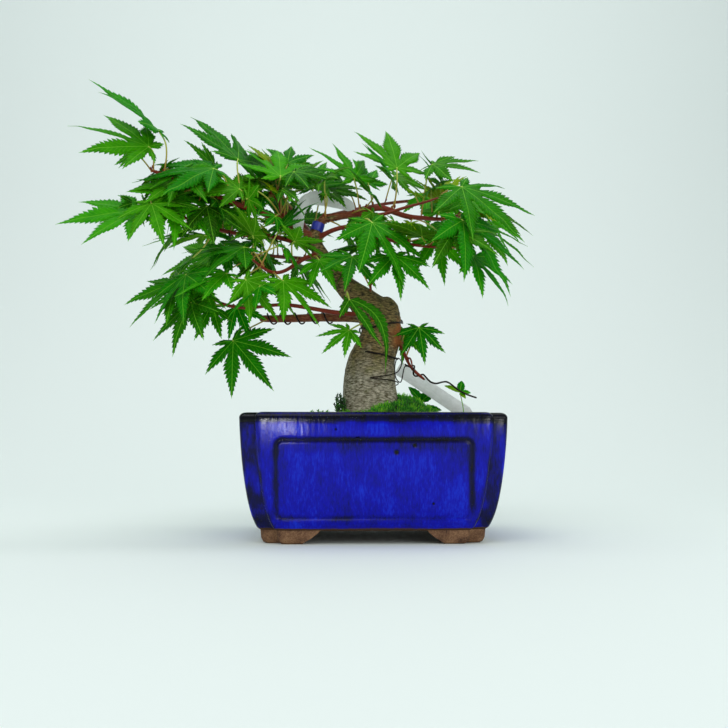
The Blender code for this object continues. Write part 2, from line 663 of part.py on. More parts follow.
# lobes from the middle outwards: angle in degrees, length and width over the middle lobe's length
LOBES = ((0.0, 1.0, 0.25), (38.0, 0.90, 0.24), (75.0, 0.66, 0.20))
BASAL_LOBE = (118.0, 0.32)
NOTCHES = (0.25, 0.22, 0.15)
DROOP = 0.16
FOLD = 0.035
STALK_STEPS = 3

LEAVES = (
    Leaf("left_high", 0.93, (-153, -40, 286), (-200, -58, 333), (-188, -12, 324)),
    Leaf("left_high", 0.99, (-160, -46, 274), (-218, -62, 299), (-189, -70, 253)),
    Leaf("left_mid", 0.62, (-113, -30, 258), (-173, -45, 256), (-118, 15, 279)),
    Leaf("left_high", 0.62, (-107, -8, 246), (-163, -20, 240), (-150, 22, 236)),
    Leaf("left_mid", 0.99, (-166, -40, 226), (-226, -55, 224), (-198, -10, 254)),
    Leaf("left_high", 0.84, (-141, -25, 241), (-137, -48, 204), (-170, -38, 236)),
    Leaf("left_mid", 0.62, (-118, 4, 209), (-163, 2, 208), (-150, -28, 220)),
    Leaf("left_fork", 0.78, (-90, -32, 200), (-145, -48, 190), (-122, 6, 214)),
    Leaf("back_low", 0.93, (-112, 62, 196), (-152, 78, 184), (-140, 90, 204)),
    Leaf("left_twig", 0.98, (-136, -24, 174), (-172, -42, 148), (-166, -4, 182)),
    Leaf("back_low", 0.66, (-118, 44, 176), (-158, 30, 160), (-146, 58, 170)),
    Leaf("left_twig", 0.88, (-126, -32, 160), (-143, -48, 126), (-158, -18, 150)),
    Leaf("left_twig", 0.72, (-112, -2, 158), (-123, -18, 136), (-98, -12, 132)),
    Leaf("left_twig", 0.60, (-94, 4, 158), (-88, -12, 138), (-108, -4, 134)),
    Leaf("left_low", 0.86, (-96, -30, 133), (-67, -42, 100), (-102, -50, 99)),
    Leaf("left_high", 0.46, (-96, -15, 265), (-93, 35, 290), (-125, -2, 301)),
    Leaf("left_high", 0.52, (-111, 5, 257), (-132, 22, 267), (-118, -12, 279)),
    Leaf("sprig_a", 0.98, (-65, -4, 253), (-66, 24, 281), (-88, 12, 265)),
    Leaf("left_back", 0.97, (-60, 56, 263), (-57, 78, 281), (-40, 60, 262)),
    Leaf("left_back", 0.66, (-78, 44, 250), (-96, 56, 256), (-78, 68, 266)),
    Leaf("left_high", 0.13, (-41, -12, 245), (-33, 8, 271), (-62, 6, 257)),
    Leaf("left_high", 0.36, (-88, -26, 236), (-73, -42, 229), (-82, -40, 248)),
    Leaf("left_fork", 0.40, (-54, -30, 205), (-30, -50, 209), (-70, -46, 222)),
    Leaf("right", 0.25, (-12, -16, 252), (-25, 0, 284), (-2, 10, 272)),
    Leaf("right", 0.50, (19, -8, 260), (14, 14, 295), (36, 12, 272)),
    Leaf("right", 0.72, (45, -4, 263), (80, -24, 263), (62, 20, 278)),
    Leaf("right_front", 0.98, (66, -38, 246), (115, -62, 213), (92, -18, 256)),
    Leaf("right", 0.86, (73, 0, 236), (107, -18, 200), (104, 22, 222)),
    Leaf("right", 0.98, (80, 22, 217), (121, 14, 193), (108, 44, 214)),
    Leaf("right_back", 0.98, (84, 64, 230), (120, 66, 216), (106, 88, 226)),
    Leaf("right_low", 0.86, (66, -52, 221), (107, -68, 173), (104, -30, 196)),
    Leaf("right_low", 0.99, (73, -46, 195), (103, -52, 164), (75, -68, 172)),
    Leaf("right_low", 0.70, (47, -30, 208), (55, -42, 176), (78, -22, 186)),
    Leaf("short_shoot", 0.97, (17, -42, 195), (23, -64, 167), (44, -52, 177)),
    Leaf("short_shoot", 0.80, (-13, -36, 194), (-17, -62, 174), (-38, -44, 196)),
    Leaf("right_low", 0.33, (1, -46, 219), (28, -64, 178), (38, -44, 200)),
    Leaf("left_twig", 0.12, (-15, -36, 168), (12, -48, 119), (-12, -64, 130)),
    Leaf("left_fork", 0.66, (-62, -34, 176), (-33, -46, 148), (-62, -60, 150)),
    Leaf("trunk", 0.50, (-15, -27, 141), (-35, -37, 127), (-12, -37, 128)),
    Leaf("base_shoot", 0.52, (34, -12, 143), (39, -24, 118), (53, -16, 131)),
    Leaf("base_shoot", 0.30, (24, 12, 141), (21, 6, 118), (36, 14, 154)),
    Leaf("left_mid", 0.55, (-104, 28, 222), (-140, 42, 214), (-122, 6, 236)),
    Leaf("left_twig", 0.66, (-102, -40, 181), (-140, -54, 170), (-116, -68, 164)),
    Leaf("left_twig", 0.46, (-78, -40, 172), (-104, -56, 152), (-76, -66, 152)),
    Leaf("right_back", 0.55, (18, 44, 254), (46, 62, 246), (24, 74, 262)),
)


def leaf_outline(length: float) -> list:
    """Outline of a five-lobed blade as (forward, sideways, height), base first."""
    half = []
    for i, (degrees, reach, width) in enumerate(LOBES):
        angle = math.radians(degrees)
        out = Vector((math.cos(angle), math.sin(angle)))
        across = Vector((-out.y, out.x))
        sag = -DROOP * reach * reach
        shoulder = out * reach * 0.48
        wide = across * width / 2
        rise = FOLD - DROOP * 0.23 * reach
        if i:
            half.append((shoulder - wide, rise))
        half.append((out * reach, sag))
        half.append((shoulder + wide, rise))
        between = LOBES[i + 1][0] if i + 1 < len(LOBES) else BASAL_LOBE[0]
        middle = math.radians((degrees + between) / 2)
        half.append((Vector((math.cos(middle), math.sin(middle))) * NOTCHES[i], 0.0))
    basal = math.radians(BASAL_LOBE[0])
    half.append((Vector((math.cos(basal), math.sin(basal))) * BASAL_LOBE[1], -0.02))
    scaled = [Vector((spot.x, spot.y, height)) * length for spot, height in half]
    stalk = STALK_WIDTH * MM / 2
    scaled.append(Vector((-0.035 * length, stalk, 0.0)))
    mirrored = [Vector((p.x, -p.y, p.z)) for p in reversed(scaled[1:])]
    return mirrored + scaled


def leaf_frame(joint: Vector, tip: Vector, side: Vector) -> Matrix:
    """Axes of a blade: forward, sideways and the upper face's normal, at the joint."""
    forward = (tip - joint).normalized()
    normal = forward.cross(side - joint).normalized()
    if normal.z < 0:
        normal.negate()
    sideways = normal.cross(forward)
    return Matrix((forward, sideways, normal)).transposed().to_4x4()


def stalk_rings(root: Vector, base: Vector, pose: Matrix) -> list:
    """Square sections along the bowed stalk, from the blade's base to the wood."""
    forward = pose.col[0].to_3d()
    sideways = pose.col[1].to_3d()
    behind = max(0.15, (base - root).normalized().dot(forward))
    handle = base - forward * (root - base).length * 0.45 * behind
    rings = []
    for step in range(1, STALK_STEPS + 1):
        t = step / STALK_STEPS
        spot = base.lerp(handle, t).lerp(handle.lerp(root, t), t)
        run = (handle - base).lerp(root - handle, t).normalized()
        across = (sideways - run * run.dot(sideways)).normalized()
        up = across.cross(run).normalized()
        if up.dot(pose.col[2].to_3d()) < 0:
            up.negate()
        rings.append((spot, across * STALK_WIDTH * MM / 2, up * LEAF_THICK * MM / 2))
    return rings


def leaf_solid(root: Vector, joint: Vector, tip: Vector, side: Vector, air: float):
    """Closed blade and stalk; air thickens the blade for the clearance test."""
    pose = leaf_frame(joint, tip, side)
    length = (tip - joint).length / math.sqrt(1 + DROOP * DROOP)
    normal = pose.col[2].to_3d()
    place = Matrix.Translation(joint) @ pose
    bm = bmesh.new()
    outline = [place @ spot + normal * air * MM for spot in leaf_outline(length)]
    blade = bm.faces.new([bm.verts.new(spot) for spot in outline])
    centre = bmesh.ops.poke(bm, faces=[blade])["verts"][0]
    centre.co = joint + normal * (air * MM + 0.01 * length)
    bm.verts.ensure_lookup_table()
    first, last = bm.verts[0], bm.verts[len(outline) - 1]
    below = bmesh.ops.extrude_face_region(bm, geom=bm.faces[:])["geom"]
    moved = [item for item in below if isinstance(item, bmesh.types.BMVert)]
    bmesh.ops.translate(bm, verts=moved, vec=-normal * (LEAF_THICK + 2 * air) * MM)
    base_face = next(f for f in first.link_faces if last in f.verts and len(f.verts) == 4)
    order = []
    for vertex in base_face.verts:
        local = vertex.co - joint
        order.append((1 if local.dot(pose.col[1].to_3d()) > 0 else -1,
                      1 if (local - normal * (air - LEAF_THICK / 2) * MM).dot(normal) > 0 else -1))
    base = joint - pose.col[0].to_3d() * 0.035 * length - normal * LEAF_THICK / 2 * MM
    rings = []
    for spot, across, up in stalk_rings(root, base, pose):
        rings.append([spot + across * a + up * b for a, b in order])
    extrude_through(bm, base_face, rings)
    return bm


def turned(spot: Vector, joint: Vector, axis: Vector, degrees: float) -> Vector:
    """A blade point turned about an axis through the joint."""
    return joint + Matrix.Rotation(math.radians(degrees), 3, axis) @ (spot - joint)


def place_leaf(name: str, leaf: Leaf, lines: dict, wood_tree: BVHTree, taken: list, green):
    """Build a leaf where it was set out, moved back or turned just enough to be clear."""
    start = along(lines[leaf.branch], leaf.share)
    for push in (0, 5, -5, 10, -10, 15, -15, 22, -22, 30, -30, 38):
        for roll, nod in ((0, 0), (12, 0), (-12, 0), (0, 12), (0, -12), (24, 0), (-24, 0), (0, 24)):
            spots = [at(x, y + push, z) for x, y, z in (leaf.joint, leaf.tip, leaf.side)]
            joint, tip, side = spots
            axis = (tip - joint).normalized()
            side = turned(side, joint, axis, roll)
            sideways = leaf_frame(joint, tip, side).col[1].to_3d()
            tip = turned(tip, joint, sideways, nod)
            side = turned(side, joint, sideways, nod)
            away = (joint - axis * (joint - start).length * 0.5 - start).normalized()
            hit = wood_tree.ray_cast(start + away * 30 * MM, -away, 30 * MM)
            surface = hit[0] if hit[0] else start
            root = surface + away * (FIT + 0.55) * MM
            proof = leaf_solid(root, joint, tip, side, LEAF_AIR)
            test = BVHTree.FromBMesh(proof)
            proof.free()
            if any(test.overlap(other) for other in taken):
                continue
            bm = leaf_solid(root, joint, tip, side, 0.0)
            taken.append(BVHTree.FromBMesh(bm))
            return finish(name, bm, green, 60.0)
    return None


def make_leaves(wood_tree: BVHTree, others: list) -> list:
    """All the leaves, each clear of the wood, the wires and its neighbours."""
    green = material("maple_leaf", (0.03, 0.17, 0.012), 0.45)
    lines = {name: branch_line(name) for name in BRANCHES}
    lines["trunk"] = trunk_line()[0]
    taken = [wood_tree] + [evaluated_tree(piece) for piece in others]
    leaves = []
    for number, leaf in enumerate(LEAVES, start=1):
        piece = place_leaf(f"leaf_{number:02d}", leaf, lines, wood_tree, taken, green)
        if piece:
            leaves.append(piece)
    return leaves


# ---- assembly -----------------------------------------------------------------------
def centre_on_base(pieces: list) -> None:
    """Put the middle of the whole model's box over the origin, its feet at z = 0."""
    graph = bpy.context.evaluated_depsgraph_get()
    spots = []
    for piece in pieces:
        shaped = piece.evaluated_get(graph)
        mesh = shaped.to_mesh()
        spots += [piece.matrix_world @ v.co for v in mesh.vertices]
        shaped.to_mesh_clear()
    low = Vector(min(s[i] for s in spots) for i in range(3))
    high = Vector(max(s[i] for s in spots) for i in range(3))
    shift = Vector(((low.x + high.x) / 2, (low.y + high.y) / 2, low.z))
    root = bpy.data.objects.new("bonsai", None)
    bpy.context.scene.collection.objects.link(root)
    for piece in list(bpy.data.objects):
        if piece is not root:
            piece.parent = root
    root.location = -shift


def build() -> None:
    """Make every piece and set the model on its origin."""
    pot = make_pot()
    screens = make_screens()
    soil = make_soil()
    moss = make_moss()
    wood = make_wood()
    bpy.context.view_layer.update()
    wood_tree = evaluated_tree(wood)
    extras = [make_soil_label(), make_branch_label(), make_tape(wood_tree)]
    extras += make_wires(wood_tree)
    bpy.context.view_layer.update()
    others = [pot, soil, moss] + extras
    leaves = make_leaves(wood_tree, others)
    centre_on_base([pot, soil, moss, wood] + screens + extras + leaves)


build()
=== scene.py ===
"""A trained mountain maple in a blue glazed pot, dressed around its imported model.

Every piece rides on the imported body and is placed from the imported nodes: the pot is turned
and glazed afresh on its outline, the wood gets its bark, and each leaf grows on the points
of the leaf solid that it stands for.
"""

import logging
import math
import random
from collections.abc import Callable, Sequence
from dataclasses import dataclass
from enum import Enum

import bmesh
import bpy
import numpy as np
from mathutils import Matrix, Vector, noise
from mathutils.bvhtree import BVHTree


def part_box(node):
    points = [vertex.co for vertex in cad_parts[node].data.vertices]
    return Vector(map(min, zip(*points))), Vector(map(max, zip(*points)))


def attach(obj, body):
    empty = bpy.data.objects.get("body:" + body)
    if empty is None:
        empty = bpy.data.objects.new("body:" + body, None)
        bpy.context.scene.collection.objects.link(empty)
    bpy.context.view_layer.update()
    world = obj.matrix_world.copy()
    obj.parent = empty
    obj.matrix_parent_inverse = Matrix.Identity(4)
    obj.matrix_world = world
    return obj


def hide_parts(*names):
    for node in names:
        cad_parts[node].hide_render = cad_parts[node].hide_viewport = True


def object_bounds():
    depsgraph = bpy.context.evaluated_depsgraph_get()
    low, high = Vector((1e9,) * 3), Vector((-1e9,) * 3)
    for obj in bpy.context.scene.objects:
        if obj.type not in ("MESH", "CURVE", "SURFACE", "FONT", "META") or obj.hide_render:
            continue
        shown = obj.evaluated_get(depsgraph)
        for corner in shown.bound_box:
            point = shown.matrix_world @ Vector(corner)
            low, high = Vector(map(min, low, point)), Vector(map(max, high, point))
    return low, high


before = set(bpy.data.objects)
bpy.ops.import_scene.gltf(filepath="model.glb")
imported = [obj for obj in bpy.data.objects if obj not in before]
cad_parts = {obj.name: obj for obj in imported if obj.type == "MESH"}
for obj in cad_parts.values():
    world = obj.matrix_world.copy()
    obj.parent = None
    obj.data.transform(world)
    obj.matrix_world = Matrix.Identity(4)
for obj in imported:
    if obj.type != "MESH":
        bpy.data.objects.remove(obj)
CAD_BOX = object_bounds()

MM = 0.001
# points nearer than this, in metres, are one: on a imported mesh, and on a swept skin
WELD, FINE_WELD = 1e-6, 1e-7
BATCH_SIZE = 400
GOLDEN_TURN = math.radians(137.5)
LEAF_LAYERS = ("along", "across", "tone", "youth")
ROOT = "root"
LOG = logging.getLogger("bonsai")


class Slot(Enum):
    """The record's material slots."""
    GLAZE = "glazed_stoneware"
    NET = "net"
    SOIL = "soil"
    MOSS = "moss"
    BARK = "bark"
    LEAF = "leaf"
    WIRE = "wire"
    LABEL = "label"
    TAPE = "tape"


# ---- small helpers --------------------------------------------------------------------
def linear(code: str) -> tuple[float, float, float, float]:
    """Turn an sRGB hex colour to linear.

    Args:
        code: Colour as "#rrggbb".

    Returns:
        Linear red, green, blue and a full alpha.
    """
    shares = [int(code[i:i + 2], 16) / 255 for i in (1, 3, 5)]
    made = [c / 12.92 if c <= 0.04045 else ((c + 0.055) / 1.055) ** 2.4 for c in shares]
    return (*made, 1.0)


def eased(value: float, low: float = 0.0, high: float = 1.0) -> float:
    """Smooth step from 0 at low to 1 at high.

    Args:
        value: Where to read the step.
        low: Where it starts.
        high: Where it ends.

    Returns:
        Share from 0 to 1.
    """
    t = min(1.0, max(0.0, (value - low) / (high - low)))
    return t * t * (3 - 2 * t)


def spread(low: float, high: float, count: int) -> list[float]:
    """Evenly spaced values, both ends included."""
    return [low + (high - low) * i / (count - 1) for i in range(count)]


def smooth_path(points: Sequence[Vector], steps: int) -> list[Vector]:
    """Catmull-Rom line through points.

    Args:
        points: Points to pass through.
        steps: Stations for each stretch between two points.

    Returns:
        Points along the line, both ends included.
    """
    ends = [points[0] * 2 - points[1], *points, points[-1] * 2 - points[-2]]
    line = []
    for a, b, c, d in zip(ends, ends[1:], ends[2:], ends[3:]):
        for i in range(steps):
            t = i / steps
            line.append(0.5 * ((2 * b) + (c - a) * t + (2 * a - 5 * b + 4 * c - d) * t * t
                               + (3 * b - a - 3 * c + d) * t ** 3))
    line.append(points[-1].copy())
    return line


def sheet(bm: bmesh.types.BMesh, columns: int, rows: int,
          place: Callable[[int, int], Vector]) -> list[list[bmesh.types.BMVert]]:
    """Lay a grid of quads over a surface given by a function.

    Args:
        bm: Mesh to add to.
        columns: Quads across.
        rows: Quads along.
        place: Gives the point for a column and a row number.

    Returns:
        The vertices, row by row.
    """
    made = bmesh.ops.create_grid(bm, x_segments=columns, y_segments=rows, size=1.0)["verts"]
    width = columns + 1
    grid = [made[row * width:(row + 1) * width] for row in range(rows + 1)]
    for row, line in enumerate(grid):
        for column, vertex in enumerate(line):
            vertex.co = place(column, row)
    return grid


def tube(bm: bmesh.types.BMesh, path: Sequence[Vector], radii: Sequence[float],
         sides: int) -> None:
    """Sweep a closed round tube along a path, with pinched ends.

    Args:
        bm: Mesh to add to.
        path: Centreline.
        radii: Radius at each point of the path.
        sides: Facets round the tube.
    """
    runs = [(b - a).normalized() for a, b in zip(path, path[1:])]
    runs.append(runs[-1])
    across = runs[0].orthogonal().normalized()
    axes = []
    for run in runs:
        across = (across - run * run.dot(across)).normalized()
        axes.append((across, run.cross(across)))

    def place(column: int, row: int) -> Vector:
        """Point of the tube's skin; the first and last rows are its pinched ends.

        Args:
            column: Facet round the tube.
            row: Station along it.

        Returns:
            The point.
        """
        i = min(max(row - 1, 0), len(path) - 1)
        if row in (0, len(path) + 1):
            return path[i].copy()
        angle = math.tau * column / sides
        u, v = axes[i]
        return path[i] + (u * math.cos(angle) + v * math.sin(angle)) * radii[i]

    grid = sheet(bm, sides, len(path) + 1, place)
    verts = [v for line in grid for v in line]
    faces = list(dict.fromkeys(f for v in verts for f in v.link_faces))
    bmesh.ops.remove_doubles(bm, verts=verts, dist=FINE_WELD)
    bmesh.ops.recalc_face_normals(bm, faces=[f for f in faces if f.is_valid])


def merged(node: str) -> bmesh.types.BMesh:
    """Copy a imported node's mesh with its doubles merged.

    Args:
        node: Name of the node.

    Returns:
        The mesh, for the caller to free.
    """
    bm = bmesh.new()
    bm.from_mesh(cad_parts[node].data)
    bmesh.ops.remove_doubles(bm, verts=bm.verts, dist=WELD)
    bm.verts.index_update()
    return bm


def surface_of(node: str) -> BVHTree:
    """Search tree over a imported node's surface.

    Args:
        node: Name of the node.

    Returns:
        The tree.
    """
    bm = merged(node)
    tree = BVHTree.FromBMesh(bm)
    bm.free()
    return tree


def set_piece(name: str, bm: bmesh.types.BMesh, dress: Sequence[bpy.types.Material], slot: Slot,
              stands_for: Sequence[str] = (), smooth: bool = True) -> bpy.types.Object:
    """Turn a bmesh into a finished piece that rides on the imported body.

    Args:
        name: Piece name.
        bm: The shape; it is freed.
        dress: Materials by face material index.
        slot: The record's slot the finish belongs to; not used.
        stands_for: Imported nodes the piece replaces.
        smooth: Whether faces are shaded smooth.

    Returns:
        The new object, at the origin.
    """
    for face in bm.faces:
        face.smooth = smooth
    mesh = bpy.data.meshes.new(name)
    bm.to_mesh(mesh)
    bm.free()
    for finish in dress:
        mesh.materials.append(finish)
    piece = bpy.data.objects.new(name, mesh)
    bpy.context.scene.collection.objects.link(piece)
    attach(piece, ROOT)
    if stands_for:
        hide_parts(*stands_for)
    return piece


def refine(piece: bpy.types.Object, levels: int) -> None:
    """Add a subdivision surface whose view and render levels agree.

    Args:
        piece: Piece to round.
        levels: How many times its faces are split.
    """
    step = piece.modifiers.new("Subdivision", "SUBSURF")
    step.levels = levels
    step.render_levels = levels


def per(size: float) -> float:
    """Pattern scale that makes a texture's lumps about as wide as a size in millimetres."""
    return 1 / (size * MM)


class Batch:
    """Gathers many small shapes; each is made in a small mesh, which keeps the making quick."""

    def __init__(self, layer: str) -> None:
        """Start empty.

        Args:
            layer: Name of the float attribute that every shape carries.
        """
        self.layer = layer
        self.whole = bmesh.new()
        self.whole.verts.layers.float.new(layer)
        self.open()

    def open(self) -> None:
        """Start a fresh small mesh."""
        self.part = bmesh.new()
        self.key = self.part.verts.layers.float.new(self.layer)

    def pour(self, least: int = 0) -> bmesh.types.BMesh:
        """Move the small mesh into the whole if it has grown past a size.

        Args:
            least: Fewest vertices that are worth moving.

        Returns:
            The whole.
        """
        if len(self.part.verts) > least:
            mesh = bpy.data.meshes.new("batch")
            self.part.to_mesh(mesh)
            self.part.free()
            self.whole.from_mesh(mesh)
            bpy.data.meshes.remove(mesh)
            self.open()
        return self.whole


class Recipe:
    """A material's node tree while it is being written."""

    def __init__(self, title: str) -> None:
        """Start an empty material with a coordinate on the piece itself.

        Args:
            title: Name of the material.
        """
        self.material = bpy.data.materials.new(title)
        self.material.use_nodes = True
        self.tree = self.material.node_tree
        self.tree.nodes.clear()
        self.place = self.add("TexCoord", out="Object")

    def add(self, kind: str, *values: object, out: str = "", stops: Sequence[tuple] = (),
            **settings: object) -> bpy.types.NodeSocket | None:
        """Add a shader node with its settings and links.

        A value is a number, a vector, a hex colour, or the output that feeds the socket.

        Args:
            kind: Node type without its "ShaderNode" prefix.
            values: Values of its first open sockets, in order.
            out: Name of the output that is wanted, if it isn't the first open one.
            stops: Position and hex colour of each stop, for a colour ramp.
            settings: Values of sockets, by capitalised name with underscores for spaces,
                and the node's own attributes, which start with a small letter.

        Returns:
            The wanted output, or nothing for a node that has none.
        """
        node = self.tree.nodes.new("ShaderNode" + kind)
        named = {key.replace("_", " "): settings.pop(key) for key in list(settings)
                 if key[0].isupper()}
        for key, value in settings.items():
            setattr(node, key, value)
        sockets = [socket for socket in node.inputs if socket.enabled]
        fed = [(next(s for s in sockets if s.name == key), named[key]) for key in named]
        for socket, value in [*zip(sockets, values), *fed]:
            if isinstance(value, bpy.types.NodeSocket):
                self.tree.links.new(value, socket)
            else:
                socket.default_value = linear(value) if isinstance(value, str) else value
        for i, (position, code) in enumerate(stops):
            ramp = node.color_ramp.elements
            stop = ramp[i] if i < 2 else ramp.new(position)
            stop.position = position
            stop.color = linear(code)
        if out:
            return node.outputs[out]
        return next((socket for socket in node.outputs if socket.enabled), None)

    def close(self, **surface: object) -> bpy.types.Material:
        """Finish with the surface shader.

        Args:
            surface: Values of the shader's sockets, as for any node.

        Returns:
            The material.
        """
        self.add("OutputMaterial", self.add("BsdfPrincipled", **surface))
        return self.material


# ---- finishes -------------------------------------------------------------------------
@dataclass(frozen=True)
class CobaltGlaze:
    """Cobalt glaze on stoneware, dipped and fired.

    The glaze runs as it melts, so it is thin and bright on the flats, and pools dark in the
    grooves, along the rim and down the corners. It stops short of the feet.
    """
    deep: str = "#00010c"
    dark: str = "#01024a"
    body: str = "#0004a8"
    bright: str = "#0a30d2"
    clay: str = "#5d3f2b"
    clay_dark: str = "#2f2018"
    pits: tuple = ((13.4, -62.2, 55.6, 2.2), (24.4, -62.7, 59.7, 1.8), (-10.0, -64.2, 63.5, 1.6),
                   (-23.3, -64.6, 69.3, 0.9), (35.9, -58.1, 24.8, 1.0))

    def material(self, pot: "Pot") -> bpy.types.Material:
        """Write the nodes.

        Args:
            pot: The pot, on whose front wall the pits lie.

        Returns:
            The finish.
        """
        recipe = Recipe("cobalt_glazed_stoneware")
        n = recipe.add
        # runs of glaze a few millimetres wide and much longer, from flowing down the wall
        tall = n("Mapping", recipe.place, Scale=(1.0, 1.0, 0.22))
        runs = n("TexNoise", tall, Scale=per(5), Detail=3.0, Roughness=0.5)
        fine = n("TexNoise", tall, Scale=per(1.1), Detail=4.0, Roughness=0.62)
        broad = n("TexNoise", recipe.place, Scale=per(26), Detail=2.0)
        # how thick the glaze pooled; it is less along the rim's top edge, where a highlight is
        # painted
        pool_and_highlight = n("Attribute", out="Fac", attribute_name="pooling_and_highlight")
        bare = n("Attribute", out="Fac", attribute_name="bare")
        depth = n("Math", runs, 0.34, -0.17, operation="MULTIPLY_ADD")
        fleck = n("Math", fine, 0.62, -0.31, operation="MULTIPLY_ADD")
        wide = n("Math", broad, 0.5, -0.25, operation="MULTIPLY_ADD")
        mottled = n("Math", n("Math", depth, fleck, operation="ADD"), wide, operation="ADD")
        thick = n("Math", n("Math", mottled, 0.3, operation="ADD"), pool_and_highlight, operation="ADD")
        glaze = n("ValToRGB", thick,
                  stops=((0.0, self.bright), (1.0, self.deep), (0.3, self.body), (0.62, self.dark)))
        # a few pale flecks where the glaze crystallised as it cooled, along the dark rim
        cells = n("TexVoronoi", recipe.place, Scale=per(1.3), Randomness=1.0)
        spot = n("MapRange", cells, 0.10, 0.20, 1.0, 0.0)
        some = n("MapRange", fine, 0.50, 0.62)
        rim = n("MapRange", pool_and_highlight, 0.35, 0.7, 0.0, 0.75)
        flecks = n("Math", n("Math", spot, some, operation="MULTIPLY"), rim, operation="MULTIPLY")
        speckled = n("Mix", flecks, glaze, "#5c6a8c", data_type="RGBA")
        # the glaze's lower edge wanders by a millimetre or so
        edge = n("Math", runs, 0.9, -0.45, operation="MULTIPLY_ADD")
        line = n("MapRange", n("Math", bare, edge, operation="ADD"), 0.42, 0.55)
        sand = n("TexNoise", recipe.place, Scale=per(0.7), Detail=5.0, Roughness=0.7)
        clay = n("Mix", sand, self.clay_dark, self.clay, data_type="RGBA")
        colour = n("Mix", line, speckled, clay, data_type="RGBA")
        rough = n("MapRange", line, 0.0, 1.0, 0.13, 0.85)
        # blown bubbles left a few open pits on the front wall; each is painted in the deepest blue,
        # a painted shade in its hollow
        holes = 0.0
        for x, y, z, radius in self.pits:
            reach = n("VectorMath", recipe.place, tuple(pot.spot(x, y, z)),
                      operation="DISTANCE")
            hole = n("MapRange", reach, 0.45 * radius * MM, radius * MM, 1.0, 0.0)
            holes = n("Math", holes, hole, operation="MAXIMUM")
        colour = n("Mix", holes, colour, self.deep, data_type="RGBA")
        # the fired skin is slightly uneven: orange peel about a tenth of a millimetre deep
        skin = n("Bump", Height=runs, Distance=0.25 * MM, Strength=0.6)
        peel = n("Bump", Height=fine, Distance=0.05 * MM, Strength=0.6, Normal=skin)
        burst = n("Bump", Height=holes, Distance=0.7 * MM, Strength=1.0, Normal=peel, invert=True)
        return recipe.close(Base_Color=colour, Roughness=rough, Normal=burst, IOR=1.5,
                            Specular_IOR_Level=0.2)


@dataclass(frozen=True)
class BareClay:
    """Unglazed red-brown stoneware of the feet, sandy from its grog."""
    light: str = "#a5805c"
    mid: str = "#74523a"
    dark: str = "#33221a"

    def material(self) -> bpy.types.Material:
        """Write the nodes.

        Returns:
            The finish.
        """
        recipe = Recipe("bare_stoneware")
        n = recipe.add
        grog = n("TexNoise", recipe.place, Scale=per(0.8), Detail=5.0, Roughness=0.7)
        flash = n("TexNoise", recipe.place, Scale=per(9), Detail=2.0)
        share = n("Math", grog, n("Math", flash, 0.9, -0.45, operation="MULTIPLY_ADD"),
                  operation="ADD")
        colour = n("ValToRGB", share,
                   stops=((0.25, self.dark), (0.85, self.light), (0.5, self.mid)))
        bump = n("Bump", Height=grog, Distance=0.3 * MM, Strength=0.8)
        return recipe.close(Base_Color=colour, Roughness=0.82, Normal=bump,
                            Specular_IOR_Level=0.3)


@dataclass(frozen=True)
class SoilGrain:
    """Baked akadama clay, pumice and lava grit, sieved to two or three millimetres."""
    dark: str = "#1d1511"
    clay: str = "#5a4030"
    tan: str = "#8b7355"
    pumice: str = "#a8a292"

    def material(self) -> bpy.types.Material:
        """Write the nodes; each grain carries its own tone.

        Returns:
            The finish.
        """
        recipe = Recipe("akadama_grit_soil")
        n = recipe.add
        tone = n("Attribute", out="Fac", attribute_name="tone")
        dust = n("TexNoise", recipe.place, Scale=per(0.8), Detail=4.0, Roughness=0.65)
        share = n("Math", dust, 0.35, n("Math", tone, -0.17, operation="ADD"),
                  operation="MULTIPLY_ADD")
        colour = n("ValToRGB", share,
                   stops=((0.05, self.dark), (0.95, self.pumice), (0.4, self.clay),
                          (0.75, self.tan)))
        bump = n("Bump", Height=dust, Distance=0.25 * MM, Strength=0.8)
        return recipe.close(Base_Color=colour, Roughness=0.92, Normal=bump,
                            Specular_IOR_Level=0.2)


@dataclass(frozen=True)
class MossGreen:
    """Living cushion moss: dark in its depth, bright yellow-green at the shoot tips."""
    depth: str = "#0b2304"
    mid: str = "#2f9400"
    tip: str = "#a0ee20"
    dry: str = "#6b5a24"

    def material(self) -> bpy.types.Material:
        """Write the nodes; the mesh carries how far up its shoot a point is.

        Returns:
            The finish.
        """
        recipe = Recipe("cushion_moss")
        n = recipe.add
        rise = n("Attribute", out="Fac", attribute_name="rise")
        patch = n("TexNoise", recipe.place, Scale=per(4), Detail=3.0)
        share = n("Math", patch, 0.7, n("Math", rise, -0.35, operation="ADD"),
                  operation="MULTIPLY_ADD")
        colour = n("ValToRGB", share, stops=((0.0, self.depth), (1.0, self.tip), (0.5, self.mid)))
        old = n("TexNoise", recipe.place, Scale=per(7), Detail=2.0)
        brown = n("MapRange", old, 0.62, 0.72, 0.0, 0.6)
        mixed = n("Mix", brown, colour, self.dry, data_type="RGBA")
        return recipe.close(Base_Color=mixed, Roughness=0.7, Specular_IOR_Level=0.25,
                            Sheen_Weight=0.25, Sheen_Roughness=0.5)


